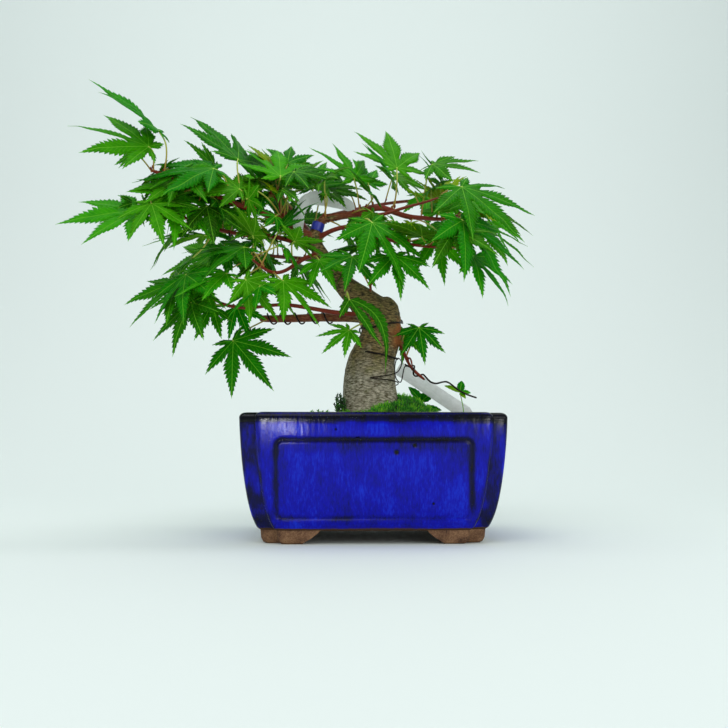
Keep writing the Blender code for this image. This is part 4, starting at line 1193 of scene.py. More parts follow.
# ---- ground ---------------------------------------------------------------------------
@dataclass
class Ground:
    """Grit soil under loose top grains, moss cushions with their shoots, and weeds.

    Sizes are millimetres.
    """
    pot: Pot
    grains: int = 3800
    grain_radii: tuple[float, float] = (0.55, 1.35)
    shoots: int = 9000
    shoot_lengths: tuple[float, float] = (2.0, 4.4)
    shoot_radius: float = 0.62
    sprigs: int = 48
    seed: int = 21
    bed_tone: float = 0.22
    # each seedling's foot, then each leaf's start, tip and width
    seedlings: tuple = (
        ((40.0, 26.0, 74.0), (
            ((38, 24, 92), (28, 20, 103), 7.0), ((38, 24, 93), (47, 22, 100), 7.5),
            ((38, 24, 92), (34, 27, 92), 6.0), ((39, 24, 88), (52, 20, 86), 5.0),
            ((39, 24, 84), (46, 16, 79), 5.0))),
        ((63.0, -12.0, 74.0), (
            ((61, -8, 97), (50, -10, 101), 3.6), ((61, -8, 97), (63, -4, 105), 5.0),
            ((61, -8, 96), (68, -11, 96), 4.0), ((61, -8, 96), (64, -13, 92), 3.2))),
    )

    def __post_init__(self) -> None:
        """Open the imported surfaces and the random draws."""
        self.draw = random.Random(self.seed)
        self.soil = surface_of("soil")
        self.wood = surface_of("tree_wood")
        self.boxes = {node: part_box(node) for node in ("soil", "moss")}

    def dropped(self, tree: BVHTree, x: float, y: float) -> tuple[Vector, Vector] | None:
        """Where a thing dropped at a place comes to rest.

        Args:
            tree: Surface it falls on.
            x: Place in metres.
            y: Place in metres.

        Returns:
            The point and the surface's normal, or nothing off the surface or under the wood.
        """
        high = self.boxes["moss"][1].z + 6 * MM
        spot, normal = tree.ray_cast(Vector((x, y, high)), Vector((0, 0, -1)))[:2]
        if spot is None or normal.z < 0.05:
            return None
        if self.wood.find_nearest(spot)[3] < 0.4 * MM:
            return None
        return spot, normal

    def random_spot(self, node: str) -> tuple[float, float]:
        """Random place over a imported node's box."""
        low, high = self.boxes[node]
        return self.draw.uniform(low.x, high.x), self.draw.uniform(low.y, high.y)

    def bed(self, finish: bpy.types.Material) -> None:
        """The settled soil, uneven on top.

        Args:
            finish: The soil's material.
        """
        bm = merged("soil")
        top = self.boxes["soil"][1].z
        bmesh.ops.triangulate(bm, faces=bm.faces)
        long = [e for e in bm.edges if min(v.co.z for v in e.verts) > top - 2 * MM]
        bmesh.ops.subdivide_edges(bm, edges=long, cuts=2)
        tone = bm.verts.layers.float.new("tone")
        for vertex in bm.verts:
            vertex[tone] = self.bed_tone
            if vertex.co.z > top - 1.2 * MM:
                vertex.co.z -= abs(noise.noise(vertex.co / MM * 0.3)) * 0.7 * MM
        set_piece("soil_bed", bm, [finish], Slot.SOIL, ["soil"])

    def top_grains(self, finish: bpy.types.Material, moss: BVHTree) -> None:
        """Loose grains over the bed, each its own size, turn and tone.

        Args:
            finish: The soil's material.
            moss: The mounds, which stay clear of grains.
        """
        batch = Batch("tone")
        for _ in range(self.grains):
            x, y = self.random_spot("soil")
            found = self.dropped(self.soil, x, y)
            if found is None or self.dropped(moss, x, y):
                continue
            spot, normal = found
            radius = self.draw.uniform(*self.grain_radii)
            turn = Matrix.Rotation(self.draw.uniform(0, math.tau), 4,
                                   Vector([self.draw.uniform(-1, 1) for _ in range(3)]))
            shape = Matrix.Diagonal([self.draw.uniform(0.7, 1.2) for _ in range(3)] + [1.0])
            place = Matrix.Translation(spot + normal * radius * 0.3 * MM) @ turn @ shape
            grain = bmesh.ops.create_icosphere(batch.part, subdivisions=1, radius=radius * MM,
                                               matrix=place)["verts"]
            shade = self.draw.uniform(0.12, 0.85) ** 1.2
            for vertex in grain:
                vertex[batch.key] = shade
                vertex.co += Vector([self.draw.uniform(-0.18, 0.18) for _ in range(3)]
                                    ) * radius * MM
            batch.pour(BATCH_SIZE)
        set_piece("soil_grains", batch.pour(), [finish], Slot.SOIL, smooth=False)

    def spike(self, batch: Batch, foot: Vector, way: Vector, length: float, radius: float,
              tones: tuple[float, float]) -> None:
        """Add one pointed four-sided shoot.

        Args:
            batch: Shapes to add to, which carry how light they are.
            foot: Where it stands, in metres.
            way: Direction it grows.
            length: Its length.
            radius: Its radius at the foot.
            tones: How light it is at the foot and at the tip, from 0 to 1.
        """
        way = way.normalized()
        place = Matrix.Translation(foot + way * (length / 2 - 0.2) * MM)
        place @= way.to_track_quat("Z", "Y").to_matrix().to_4x4()
        made = bmesh.ops.create_cone(batch.part, cap_ends=True, cap_tris=False, segments=4,
                                     radius1=radius * MM, radius2=0.12 * radius * MM,
                                     depth=length * MM, matrix=place)["verts"]
        for vertex in made:
            above = (vertex.co - foot).dot(way) > length * 0.4 * MM
            vertex[batch.key] = tones[above]
        batch.pour(BATCH_SIZE)

    def cushion(self, finish: bpy.types.Material) -> BVHTree:
        """The moss mounds, softened and lumpy.

        Args:
            finish: The moss's material.

        Returns:
            Search tree over the finished mounds.
        """
        bm = merged("moss")
        bmesh.ops.subdivide_edges(bm, edges=bm.edges, cuts=2, use_grid_fill=True)
        for _ in range(4):
            bmesh.ops.smooth_vert(bm, verts=bm.verts, factor=0.5, use_axis_x=True,
                                  use_axis_y=True, use_axis_z=True)
        rise = bm.verts.layers.float.new("rise")
        bm.normal_update()
        for vertex in bm.verts:
            lump = noise.noise(vertex.co / MM * 0.28)
            vertex.co += vertex.normal * (0.5 + 1.1 * lump) * MM
            vertex[rise] = 0.16 + 0.2 * lump
        tree = BVHTree.FromBMesh(bm)
        set_piece("moss_cushion", bm, [finish], Slot.MOSS, ["moss"])
        return tree

    def moss_shoots(self, finish: bpy.types.Material, moss: BVHTree) -> None:
        """Shoots all over the mounds, longer and brighter in tufts.

        Args:
            finish: The moss's material.
            moss: The mounds they grow on.
        """
        batch = Batch("rise")
        for _ in range(self.shoots):
            found = self.dropped(moss, *self.random_spot("moss"))
            if found is None:
                continue
            spot, normal = found
            tuft = noise.noise(spot / MM * 0.22)
            low, high = self.shoot_lengths
            length = self.draw.uniform(low, high) * (1 + 0.45 * tuft)
            way = normal + Vector((self.draw.uniform(-0.5, 0.5), self.draw.uniform(-0.5, 0.5), 0.5))
            bright = 0.62 + 0.5 * tuft + self.draw.uniform(-0.15, 0.2)
            self.spike(batch, spot, way, length, self.shoot_radius * self.draw.uniform(0.7, 1.2),
                       (0.05, bright))
        set_piece("moss_shoots", batch.pour(), [finish], Slot.MOSS, smooth=False)

    def moss_sprigs(self, finish: bpy.types.Material, moss: BVHTree) -> None:
        """Taller dark leafy stems that lean against the trunk's foot, and a few pale ones.

        Args:
            finish: The moss's material.
            moss: The mounds they grow on.
        """
        batch = Batch("rise")
        for number in range(self.sprigs):
            dark = number < self.sprigs * 2 // 3
            x = self.draw.uniform(-23, -14) if dark else self.draw.uniform(-42, -26)
            y = self.draw.uniform(-16, 8) if dark else self.draw.uniform(-24, 4)
            spot = self.pot.spot(x, y, 0.0)
            found = self.dropped(moss, spot.x, spot.y) or self.dropped(self.soil, spot.x, spot.y)
            if found is None:
                continue
            tall = self.draw.uniform(9, 16) if dark else self.draw.uniform(7, 11)
            lean = Vector((self.draw.uniform(-0.35, 0.15), self.draw.uniform(-0.3, 0.3), 1.0))
            tones = (0.0, 0.22) if dark else (0.3, 1.0)
            self.spike(batch, found[0], lean, tall, 0.45, tones)
            for step in range(11):
                turn = step * GOLDEN_TURN
                out = Vector((math.cos(turn), math.sin(turn), 0.75))
                foot = found[0] + lean.normalized() * tall * (0.15 + 0.075 * step) * MM
                self.spike(batch, foot, out, 3.2 - 0.14 * step, 0.62, tones)
        set_piece("moss_sprigs", batch.pour(), [finish], Slot.MOSS, smooth=False)

    def weeds(self) -> None:
        """Two seedlings by the label: small oval leaves on thin stems."""
        bm = bmesh.new()
        layers = [bm.verts.layers.float.new(key) for key in LEAF_LAYERS]
        stems = []
        for foot, leaves in self.seedlings:
            crown = self.pot.spot(*leaves[0][0])
            stems.append((self.pot.spot(*foot), crown))
            for start, end, width in leaves:
                start, end = self.pot.spot(*start), self.pot.spot(*end)
                stems.append((crown, start.lerp(end, 0.15)))
                side = (end - start).cross(Vector((0.1, -1.0, 0.6))).normalized()
                rise = side.cross(end - start).normalized()

                def place(column: int, row: int) -> Vector:
                    """Point of an oval blade, folded a little along its midrib."""
                    t, c = row / 10, column / 2 - 1
                    half = width / 2 * math.sin(math.pi * min(1.0, t + 0.02) ** 0.8) ** 0.7
                    half *= 1 + 0.16 * (row % 2) * (0.1 < t < 0.95)
                    fold = rise * (abs(c) * half * 0.25 + 2.2 * t * (1 - t)) * MM
                    return start.lerp(end, t) + side * c * half * MM + fold

                rows = sheet(bm, 4, 10, place)
                for row, line in enumerate(rows):
                    for column, vertex in enumerate(line):
                        vertex[layers[0]] = row / 10 * (end - start).length / MM
                        vertex[layers[1]] = abs(column / 2 - 1) * width / 2
                        vertex[layers[2]] = 0.35 if width > 4.5 else 0.7
                        vertex[layers[3]] = 0.0 if width > 3.9 else 0.5
        bmesh.ops.solidify(bm, geom=bm.faces[:], thickness=0.2 * MM)
        for foot, head in stems:
            low = foot.lerp(head, 0.5) + Vector((0.8, 0.0, -0.6)) * MM
            tube(bm, smooth_path([foot, low, head], 4), [0.3 * MM] * 9, 6)
        set_piece("label_seedlings", bm, [UPPER_BLADE.material()], Slot.LEAF)

    def build(self) -> None:
        """Make soil, moss and seedlings."""
        grit = SoilGrain().material()
        green = MossGreen().material()
        self.bed(grit)
        moss = self.cushion(green)
        self.top_grains(grit, moss)
        self.moss_shoots(green, moss)
        self.moss_sprigs(green, moss)
        self.weeds()
        LOG.info("ground: soil, moss and seedlings")


# ---- leaves ---------------------------------------------------------------------------
@dataclass
class LeafForm:
    """Where a leaf's blade and stalk lie, in metres.

    The ring has 25 points, from one side of the stalk over the middle lobe's tip to the
    other side: for each lobe a shoulder, its tip and a shoulder, with notches between.
    """
    joint: Vector
    ring: list[Vector]
    stalk: list[Vector]
    normal: Vector


class LeafReader:
    """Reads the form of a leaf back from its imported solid."""
    RING = 25
    TIP = 12

    def read(self, node: str) -> LeafForm:
        """Find a packed leaf's joint, outline and stalk.

        Args:
            node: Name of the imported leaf.

        Returns:
            Its form.
        """
        bm = merged(node)
        hubs = sorted(bm.verts, key=lambda v: len(v.link_edges))[-2:]
        upper = max(hubs, key=lambda v: sum(f.normal.z for f in v.link_faces))
        rings = {hub: self.walk(hub) for hub in hubs}
        ring = rings[upper]
        far = max(range(self.RING), key=lambda i: (ring[i].co - upper.co).length)
        ring = [ring[(far - self.TIP + i) % self.RING] for i in range(self.RING)]
        seen = set(hubs).union(*rings.values())
        stalk = [upper.co.lerp((ring[0].co + ring[-1].co) / 2, 0.5)]
        while True:
            step = {e.other_vert(v) for v in seen for e in v.link_edges} - seen
            if not step:
                break
            ordered = sorted(step, key=lambda v: v.index)
            stalk.append(sum((v.co for v in ordered), Vector()) / len(step))
            seen |= step
        normal = sum((f.normal for f in upper.link_faces), Vector()).normalized()
        form = LeafForm(upper.co.copy(), [v.co.copy() for v in ring], stalk, normal)
        bm.free()
        return form

    @staticmethod
    def walk(hub: bmesh.types.BMVert) -> list[bmesh.types.BMVert]:
        """The vertices round a hub, in order.

        Args:
            hub: Vertex in the middle of a fan of faces.

        Returns:
            The ring.
        """
        after = {}
        for face in hub.link_faces:
            loop = next(loop for loop in face.loops if loop.vert == hub)
            after[loop.link_loop_next.vert] = loop.link_loop_prev.vert
        ring = [next(iter(after))]
        while len(ring) < len(after):
            ring.append(after[ring[-1]])
        return ring


@dataclass(frozen=True)
class BladeCut:
    """How a blade's lobes are cut; lengths in millimetres, the rest as shares."""
    tooth: float = 3.0
    palm_rows: int = 4
    half_columns: int = 3
    shoulder: float = 0.48
    sinus: float = 0.76
    step: float = 0.98
    point: float = 1.22
    reach: float = 0.55
    fold: float = 0.03
    thickness: float = 0.16
    flutter: float = 0.9


class MapleLeaf:
    """One palmate leaf: toothed lobes on a thin stalk."""
    # boundary, shoulder, tip, shoulder, boundary of each lobe on the ring
    LOBES = ((0, None, 1, None, 2), (2, 3, 4, 5, 6), (6, 7, 8, 9, 10), (10, 11, 12, 13, 14),
             (14, 15, 16, 17, 18), (18, 19, 20, 21, 22), (22, None, 23, None, 24))

    def __init__(self, form: LeafForm, cut: BladeCut, tone: float, youth: float,
                 draw: random.Random, lobes: Sequence[tuple] = LOBES) -> None:
        """Keep the leaf's form and its colouring.

        Args:
            form: Where the leaf lies.
            cut: How its lobes are cut.
            tone: From 0, deep green, to 1, sunlit.
            youth: From 0, grown, to 1, just opened.
            draw: Random draws for its flutter.
            lobes: Places of each lobe on the ring.
        """
        self.lobes = lobes
        self.form = form
        self.cut = cut
        self.tone = tone
        self.youth = youth
        self.seed = Vector([draw.uniform(-50, 50) for _ in range(3)])
        self.twists = [draw.uniform(-1, 1) for _ in lobes]

    @staticmethod
    def width(t: float, shoulder: float) -> float:
        """Half width of a lobe over its widest, from its notch to its long drawn-out tip.

        Args:
            t: Share along the lobe.
            shoulder: Where it is widest.

        Returns:
            Share of its widest.
        """
        if t < shoulder:
            return 0.62 + 0.38 * math.sin(math.pi / 2 * t / shoulder)
        return (1 - ((t - shoulder) / (1 - shoulder)) ** 1.12) ** 1.22

    def grow_lobe(self, bm: bmesh.types.BMesh, along: object, across: object,
                  marks: tuple, twist: float) -> None:
        """Lay one lobe from the joint to its tip, with teeth that point forwards.

        Args:
            bm: The leaf's mesh.
            along: Layer for the distance along the lobe, in millimetres.
            across: Layer for the distance from its midrib, in millimetres.
            marks: The lobe's places on the ring.
            twist: How far the lobe rolls about its midrib, from -1 to 1.
        """
        cut, joint, normal, ring = self.cut, self.form.joint, self.form.normal, self.form.ring
        first, last, tip = ring[marks[0]], ring[marks[4]], ring[marks[2]]
        run = tip - joint
        length = run.length
        ahead = run.normalized()
        if marks[1] is None:
            side = normal.cross(ahead).normalized() * length * 0.17
            turn = 1 if side.dot(last - first) > 0 else -1
            middle = joint.lerp(tip, cut.shoulder) + normal * 0.04 * length
            shoulders = (middle - side * turn, middle + side * turn)
        else:
            shoulders = (ring[marks[1]], ring[marks[3]])
            middle = (shoulders[0] + shoulders[1]) / 2 - normal * cut.fold * length
        roll = Matrix.Rotation(0.35 * twist, 3, ahead)
        arms = [roll @ (s - middle) for s in shoulders]
        ends = (first, last)
        root = sum((e - joint).dot(ahead) for e in ends) / 2 / length
        root = min(max(root, 0.06), 0.4)
        teeth = max(4, round(length * (1 - root) / (cut.tooth * MM)))
        fine = 3 * teeth
        widest = (cut.shoulder - root) / (1 - root)
        half = cut.half_columns

        def axis(u: float) -> Vector:
            """Midrib: the curve through the joint, the lobe's middle and its tip.

            Args:
                u: Share along the midrib.

            Returns:
                The point.
            """
            m = cut.shoulder
            return (joint * ((u - m) * (u - 1) / m) + middle * (u * (u - 1) / (m * (m - 1)))
                    + tip * (u * (u - m) / (1 - m)))

        def station(row: int) -> float:
            """Share along the midrib of a row.

            Args:
                row: Row of the blade.

            Returns:
                The share.
            """
            if row <= cut.palm_rows:
                return root * row / cut.palm_rows
            return root + (1 - root) * (row - cut.palm_rows) / fine

        def place(column: int, row: int) -> Vector:
            """Point of the blade's upper face.

            Args:
                column: Column across the lobe.
                row: Row along it.

            Returns:
                The point.
            """
            c = column / half - 1
            hand = 0 if c < 0 else 1
            share = abs(c)
            u = station(row)
            rib = axis(u)
            if row <= cut.palm_rows:
                return rib.lerp(joint.lerp(ends[hand], row / cut.palm_rows), share)
            k = row - cut.palm_rows
            t = k / fine
            if row == cut.palm_rows + fine:
                return tip.copy()
            swell = self.width(t, widest)
            bite = (cut.sinus, cut.step, cut.point)[k % 3]
            if (k // 3) % 2:
                bite = 1 + (bite - 1) * 0.62
            calm = eased(1 - t, 0.02, 0.16) * eased(t, 0.0, 0.12)
            bite = 1 + (bite - 1) * calm
            push = cut.reach * 3 / fine * (1 - root) * calm * (k % 3 == 2) * share ** 3
            edge = axis(min(1.0, u + push)) + arms[hand] * swell * bite
            edge = ends[hand].lerp(edge, eased(t, 0.0, 0.13))
            spot = rib.lerp(edge, share)
            puff = math.sin(math.pi * share) * swell * 0.10 - 0.16 * share * share * swell
            return spot + normal * puff * arms[hand].length

        grid = sheet(bm, 2 * half, cut.palm_rows + fine, place)
        for row, line in enumerate(grid):
            u = station(row)
            rib = axis(u)
            for vertex in line:
                vertex[along] = u * length / MM
                vertex[across] = (vertex.co - rib).length / MM

    def build(self, name: str, dress: Sequence[bpy.types.Material],
              stands_for: Sequence[str] = ()) -> bpy.types.Object:
        """Make the whole leaf as one piece.

        Args:
            name: Piece name.
            dress: Materials of the upper face, the under face and the stalk.
            stands_for: Packed leaf it replaces.

        Returns:
            The finished piece.
        """
        bm = bmesh.new()
        layers = [bm.verts.layers.float.new(key) for key in LEAF_LAYERS]
        for marks, twist in zip(self.lobes, self.twists):
            self.grow_lobe(bm, layers[0], layers[1], marks, twist)
        bmesh.ops.remove_doubles(bm, verts=bm.verts, dist=WELD)
        bm.normal_update()
        if sum(f.normal.dot(self.form.normal) * f.calc_area() for f in bm.faces) < 0:
            bmesh.ops.reverse_faces(bm, faces=bm.faces)
        size = max((spot - self.form.joint).length for spot in self.form.ring)
        for vertex in bm.verts:
            out = min(1.0, (vertex.co - self.form.joint).length / size)
            wave = noise.noise(vertex.co / MM * 0.085 + self.seed)
            vertex.co += self.form.normal * wave * self.cut.flutter * 2 * out * MM
        under = bmesh.ops.extrude_face_region(bm, geom=bm.faces[:])["geom"]
        bm.normal_update()
        sunk = [v for v in under if isinstance(v, bmesh.types.BMVert)]
        down = {v: v.normal * self.cut.thickness * MM for v in sunk}
        for vertex, step in down.items():
            vertex.co -= step
        for face in under:
            if isinstance(face, bmesh.types.BMFace):
                face.material_index = 1
        bmesh.ops.recalc_face_normals(bm, faces=bm.faces)
        self.grow_stalk(bm, layers[0])
        for vertex in bm.verts:
            vertex[layers[2]] = self.tone
            vertex[layers[3]] = self.youth
        return set_piece(name, bm, dress, Slot.LEAF, stands_for)

    def grow_stalk(self, bm: bmesh.types.BMesh, along: object) -> None:
        """Add the round stalk, swollen where it clasps the twig.

        Args:
            bm: The leaf's mesh.
            along: Layer for the share along the stalk.
        """
        points = self.form.stalk
        run = (points[-1] - points[-2]).normalized()
        low = self.form.normal * 0.35 * MM
        knots = [self.form.joint.lerp(points[0], -0.5) - low, points[0] - low, *points[1:],
                 points[-1] + run * 1.3 * MM]
        path = smooth_path(knots, 5)
        last = len(path) - 1
        radii = [0.54 + 0.42 * eased(i / last, 0.84, 0.97) - 0.3 * eased(i / last, 0.97, 1.0)
                 + 0.16 * (1 - eased(i / last, 0.0, 0.18)) for i in range(last + 1)]
        before = len(bm.verts)
        faces = len(bm.faces)
        tube(bm, path, [r * MM for r in radii], 7)
        bm.verts.ensure_lookup_table()
        bm.faces.ensure_lookup_table()
        whole = (path[-1] - path[0]).length
        for vertex in bm.verts[before:]:
            vertex[along] = (vertex.co - path[0]).length / whole
        for face in bm.faces[faces:]:
            face.material_index = 2


@dataclass(frozen=True)
class FillIn:
    """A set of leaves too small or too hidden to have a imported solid."""
    title: str
    count: int
    sizes: tuple[float, float]
    youth: tuple[float, float]
    lowest: float
    nearest: float


class Crown:
    """All the foliage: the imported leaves, and the fill-in ones between them."""
    SEED = 7
    EYE = Vector((-17.0, -499.0, 54.0))
    # a fill-in leaf grows on wood this thin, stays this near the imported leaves' outline
    # and this clear of the bark; the search gives up after so many tries
    TWIG_GIRTH, TWIG_LOWEST = 0.62, 160.0
    STRAY, BARK_AIR = 10.0, 1.2
    TRIES = 6000
    HANGING_LEAF = "leaf_37"
    FILL_INS = (FillIn("inner_leaf", 80, (0.55, 0.9), (0.0, 0.15), 160.0, 6.0),
                FillIn("young_leaf", 20, (0.38, 0.55), (0.55, 0.95), 215.0, 7.0))
    # the leaf that hangs before the trunk: two long lobes, as (x, depth, height) on the elevation
    HANGING = ((-19, -38, 166), (-21, -39, 159), (-22, -38, 150), (-16, -40, 155),
               (-14, -39, 158), (-6, -41, 146), (8, -38, 128), (-1, -41, 150), (-9, -40, 158),
               (4.5, -42, 145), (10, -33, 110), (10.5, -42, 150), (-8, -39, 165))
    HANGING_LOBES = ((0, 1, 2, 3, 4), (4, 5, 6, 7, 8), (8, 9, 10, 11, 12))

    def __init__(self, pot: Pot, wood: bpy.types.Object) -> None:
        """Keep the pot and the wood and make the finishes.

        Args:
            pot: The pot, whose middle the elevation is drawn about.
            wood: The finished wood.
        """
        self.pot = pot
        self.wood = wood
        self.draw = random.Random(self.SEED)
        self.dress = [UPPER_BLADE.material(), UNDER_BLADE.material(), StalkGreen().material()]
        self.forms: dict[str, LeafForm] = {}
        self.axils: list[tuple[Vector, Vector]] = []

    def at(self, x: float, depth: float, z: float) -> Vector:
        """Point on the elevation, pushed back along the line from the eye.

        Args:
            x: Place across, in millimetres.
            depth: How far back it is pushed.
            z: Height.

        Returns:
            The point, in metres.
        """
        flat = Vector((x, 0.0, z))
        spot = self.EYE + (flat - self.EYE) * (1 + depth / -self.EYE.y)
        return self.pot.spot(*spot)

    def seen(self, spot: Vector) -> Vector:
        """Where a point shows on the elevation, in millimetres.

        Args:
            spot: Point in metres.

        Returns:
            Its place across and its height.
        """
        ray = (spot - self.pot.centre) / MM - self.EYE
        flat = self.EYE + ray * (-self.EYE.y / ray.y)
        return Vector((flat.x, flat.z))

    def grow(self, name: str, form: LeafForm, tone: float, youth: float,
             stands_for: Sequence[str] = (), lobes: Sequence[tuple] = MapleLeaf.LOBES) -> None:
        """Make one leaf and note where its stalk leaves the wood.

        Args:
            name: Piece name.
            form: Where the leaf lies.
            tone: From 0, deep green, to 1, sunlit.
            youth: From 0, grown, to 1, just opened.
            stands_for: Packed leaf it replaces.
            lobes: Places of each lobe on the ring.
        """
        leaf = MapleLeaf(form, BladeCut(), tone, youth, self.draw, lobes)
        leaf.build(name, self.dress, stands_for)
        self.axils.append((form.stalk[-1], (form.stalk[-2] - form.stalk[-1]).normalized()))

    def packed(self) -> None:
        """Grow a leaf on every packed leaf."""
        reader = LeafReader()
        names = sorted(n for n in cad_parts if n.startswith("leaf_"))
        self.forms = {name: reader.read(name) for name in names}
        low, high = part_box("tree_wood")
        for name, form in self.forms.items():
            # leaves high in the crown are painted lighter and those further back darker: painted
            # light and shade, on top of a random tone of their own
            rise = (form.joint.z - low.z) / (high.z - low.z)
            front = (form.joint.y - low.y) / (high.y - low.y)
            tone = 0.30 + 0.25 * rise - 0.12 * front + self.draw.uniform(-0.2, 0.32)
            youth = self.draw.uniform(0, 0.12)
            if name == self.HANGING_LEAF:
                self.hang(name, form, tone)
            else:
                self.grow("maple_" + name, form, tone, youth, [name])
        LOG.info("crown: %d packed leaves", len(self.forms))

    def hang(self, name: str, form: LeafForm, tone: float) -> None:
        """Grow the leaf that hangs in front of the trunk, its lobes folded together.

        Args:
            name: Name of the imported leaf.
            form: Where it lies.
            tone: From 0, deep green, to 1, sunlit.
        """
        ring = [self.at(*spot) for spot in self.HANGING]
        joint = self.at(-15, -38, 163)
        drooped = LeafForm(joint, ring, [joint, *form.stalk[1:]], form.normal)
        self.grow("maple_" + name, drooped, tone, 0.05, [name], self.HANGING_LOBES)

    def twigs(self) -> list[tuple[Vector, Vector]]:
        """Points on thin wood, with their normals, where a leaf may grow.

        Returns:
            The points and normals.
        """
        girth = self.wood.data.attributes["girth"].data
        low = self.pot.spot(0, 0, self.TWIG_LOWEST).z
        return [(v.co.copy(), v.normal.copy()) for v in self.wood.data.vertices
                if girth[v.index].value < self.TWIG_GIRTH and v.co.z > low]

    def fill_in(self) -> None:
        """Set fill-in leaves on the twigs, inside the crown's outline and clear of the wood."""
        twigs = self.twigs()
        bark = BVHTree.FromPolygons([v.co for v in self.wood.data.vertices],
                                    [p.vertices[:] for p in self.wood.data.polygons])
        outline = np.array([self.seen(p) for f in self.forms.values() for p in f.ring])
        joints = [form.joint for form in self.forms.values()]
        patterns = [f for name, f in self.forms.items() if name != self.HANGING_LEAF]
        low, high = CAD_BOX
        for kind in self.FILL_INS:
            made = 0
            for _ in range(self.TRIES):
                root, normal = self.draw.choice(twigs)
                pattern = self.draw.choice(patterns)
                scale = self.draw.uniform(*kind.sizes)
                turn = Matrix.Rotation(math.radians(self.draw.uniform(-70, 70)), 4, "Z")
                place = (Matrix.Translation(root) @ turn @ Matrix.Scale(scale, 4)
                         @ Matrix.Translation(-pattern.stalk[-1]))
                form = LeafForm(place @ pattern.joint, [place @ p for p in pattern.ring],
                                [place @ p for p in pattern.stalk], turn.to_3x3() @ pattern.normal)
                rise = (form.stalk[-2] - root).normalized()
                tips = form.ring[::2]
                if (rise.dot(normal) < 0.25 or form.joint.z < self.pot.spot(0, 0, kind.lowest).z
                        or min((form.joint - j).length for j in joints) < kind.nearest * MM
                        or any(not low[i] < p[i] < high[i] for p in tips for i in range(3))
                        or any(bark.find_nearest(p)[3] < self.BARK_AIR * MM for p in tips)
                        or any(np.hypot(*(outline - self.seen(p)).T).min() > self.STRAY
                               for p in tips)):
                    continue
                made += 1
                joints.append(form.joint)
                tone = self.draw.uniform(0.1, 0.75)
                self.grow(f"{kind.title}_{made:02d}", form, tone, self.draw.uniform(*kind.youth))
                if made == kind.count:
                    break
            LOG.info("crown: %d of %d %s", made, kind.count, kind.title)

    def buds(self) -> None:
        """A pointed red bud in the axil of each stalk."""
        bm = bmesh.new()
        girth = bm.verts.layers.float.new("girth")
        height = bm.verts.layers.float.new("height")
        for foot, way in self.axils:
            lean = (way + Vector((0.0, 0.0, 0.9))).normalized()
            side = Vector([self.draw.uniform(-1, 1) for _ in range(3)]).cross(way).normalized()
            place = Matrix.Translation(foot + (lean * 0.9 + side * 0.7) * MM)
            place @= lean.to_track_quat("Z", "Y").to_matrix().to_4x4()
            place @= Matrix.Diagonal((0.62, 0.62, 1.25, 1.0))
            bmesh.ops.create_icosphere(bm, subdivisions=2, radius=MM, matrix=place)
        for vertex in bm.verts:
            vertex[girth] = 0.2
            vertex[height] = 1.5
        set_piece("axil_buds", bm, [self.wood.data.materials[0]], Slot.BARK)

    def build(self) -> None:
        """Make every leaf and bud."""
        self.packed()
        self.fill_in()
        self.buds()


# ---- fittings -------------------------------------------------------------------------
@dataclass
class Fittings:
    """Wires, labels and tape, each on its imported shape."""
    wires: tuple[str, ...] = ("wire_left_mid", "wire_left_low", "wire_base_shoot", "wire_trunk",
                              "tie_wire")
    label_ease: float = 0.12

    def build(self) -> None:
        """Dress every fitting."""
        wire = TrainingWire().material()
        for node in self.wires:
            piece = set_piece("drawn_" + node, merged(node), [wire], Slot.WIRE, [node])
            refine(piece, 1)
        label = LabelPlastic().material()
        for node, levels in (("branch_label", 2), ("soil_label", 0)):
            bm = merged(node)
            if not levels:
                bmesh.ops.bevel(bm, geom=bm.edges[:], offset=self.label_ease * MM,
                                offset_type="OFFSET", segments=2, profile=0.5, affect="EDGES",
                                clamp_overlap=True, material=-1)
            piece = set_piece("blank_" + node, bm, [label], Slot.LABEL, [node])
            if levels:
                refine(piece, levels)
        tape = set_piece("wrapped_tape", merged("tape_band"), [VinylTape().material()],
                         Slot.TAPE, ["tape_band"])
        refine(tape, 2)
        LOG.info("fittings: wires, labels and tape")


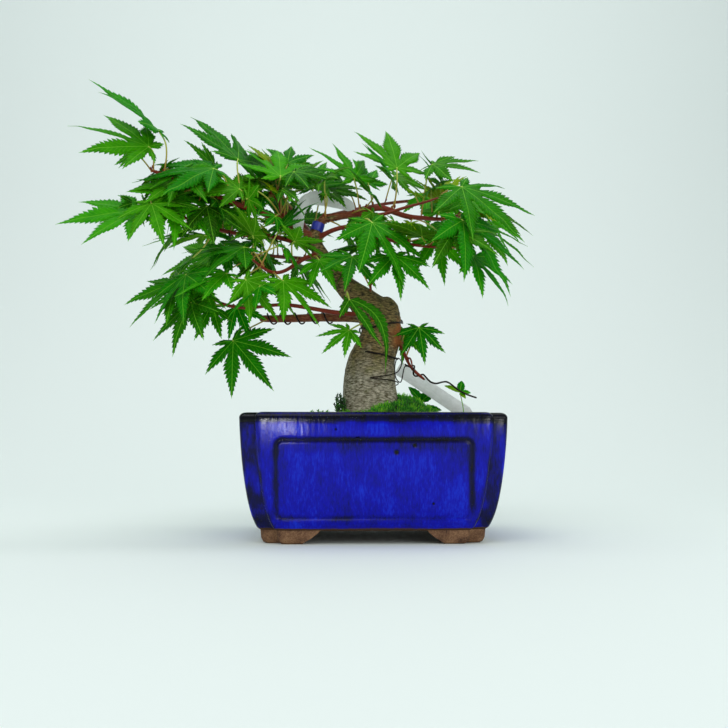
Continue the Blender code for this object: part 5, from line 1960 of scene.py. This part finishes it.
# ---- studio ---------------------------------------------------------------------------
@dataclass
class Studio:
    """Seamless paper, soft lamps and the camera."""
    paper: str = "#eef6f4"
    air: str = "#e6efee"
    air_strength: float = 0.5
    eye: tuple[float, float, float] = (-16.9, -499.0, 54.0)
    pitch: float = 7.2
    yaw: float = 1.4
    lens: float = 35.6
    sensor: float = 36.0
    # the paper's sweep, in metres: its front and back edges, bend, height and half width
    sweep_front: float = -2.6
    sweep_back: float = 0.4
    sweep_bend: float = 1.3
    sweep_height: float = 2.9
    sweep_half: float = 3.4

    def backdrop(self) -> bpy.types.Object:
        """Sheet of paper that runs from the floor up behind the object in one sweep.

        Returns:
            The sheet.
        """
        recipe = Recipe("seamless_paper")
        fibre = recipe.add("TexNoise", recipe.place, Scale=per(2), Detail=3.0)
        bump = recipe.add("Bump", Height=fibre, Distance=0.05 * MM, Strength=0.3)
        paper = recipe.close(Base_Color=self.paper, Roughness=0.9, Normal=bump,
                             Specular_IOR_Level=0.1)
        back, radius, half = self.sweep_back, self.sweep_bend, self.sweep_half
        profile = [(y, 0.0) for y in spread(self.sweep_front, back, 8)]
        profile += [(back + radius * math.sin(a), radius * (1 - math.cos(a)))
                    for a in spread(0.0, math.pi / 2, 33)[1:]]
        profile.append((back + radius, self.sweep_height))
        bm = bmesh.new()
        sheet(bm, 2, len(profile) - 1,
              lambda column, row: Vector(((column - 1) * half, *profile[row])))
        mesh = bpy.data.meshes.new("backdrop")
        for face in bm.faces:
            face.smooth = True
        bm.to_mesh(mesh)
        bm.free()
        mesh.materials.append(paper)
        made = bpy.data.objects.new("backdrop", mesh)
        bpy.context.scene.collection.objects.link(made)
        return made

    def lamp(self, name: str, place: tuple, aim: tuple, width: float, height: float,
             power: float) -> None:
        """Hang one soft box.

        Args:
            name: Lamp name.
            place: Where it hangs, in metres.
            aim: The point it faces.
            width: Its width in metres.
            height: Its height in metres.
            power: Its power in watts.
        """
        data = bpy.data.lights.new(name, "AREA")
        data.shape = "RECTANGLE"
        data.size = width
        data.size_y = height
        data.energy = power
        lamp = bpy.data.objects.new(name, data)
        lamp.location = place
        lamp.rotation_mode = "QUATERNION"
        lamp.rotation_quaternion = (Vector(aim) - Vector(place)).to_track_quat("-Z", "Y")
        bpy.context.scene.collection.objects.link(lamp)

    def build(self, pot: Pot) -> None:
        """Set up paper, light and camera round the pot.

        Args:
            pot: The pot, about whose middle the camera stands.
        """
        self.backdrop()
        self.lamp("key_box", (-0.45, -0.9, 1.25), (0.0, 0.0, 0.15), 1.2, 0.9, 6.8)
        self.lamp("fill_box", (0.75, -1.0, 0.45), (0.0, 0.0, 0.12), 0.9, 0.6, 3.2)
        self.lamp("top_box", (0.0, 0.1, 1.5), (0.0, 0.1, 0.1), 1.8, 1.6, 2.6)
        self.lamp("paper_box", (0.0, 0.2, 2.1), (0.0, 1.7, 0.6), 3.0, 0.8, 15)
        # two small panes: their reflections glint on the glaze under the rim
        self.lamp("glint_left", pot.spot(-152, -856, 26), pot.spot(-65, -62, 72), 0.022, 0.05, 0.3)
        self.lamp("glint_right", pot.spot(300, -820, 50), pot.spot(70, -60, 78), 0.12, 0.05, 0.25)
        world = bpy.data.worlds.new("studio_air")
        world.use_nodes = True
        air = world.node_tree.nodes["Background"].inputs
        air["Color"].default_value = linear(self.air)
        air["Strength"].default_value = self.air_strength
        bpy.context.scene.world = world
        bpy.context.scene.view_settings.view_transform = "Standard"
        data = bpy.data.cameras.new("camera")
        data.lens = self.lens
        data.sensor_width = self.sensor
        camera = bpy.data.objects.new("camera", data)
        camera.location = pot.spot(*self.eye)
        camera.rotation_euler = (math.radians(90 + self.pitch), 0.0, -math.radians(self.yaw))
        bpy.context.scene.collection.objects.link(camera)
        bpy.context.scene.camera = camera
        LOG.info("studio: paper, soft boxes and a camera")


def main() -> None:
    """Build the plant in order, then the studio."""
    logging.basicConfig(level=logging.INFO, format="%(name)s: %(message)s")
    pot = Pot()
    pot.build()
    Ground(pot).build()
    wood = Wood(pot).build()
    Crown(pot, wood).build()
    Fittings().build()
    Studio().build(pot)


if __name__ == "__main__":
    main()
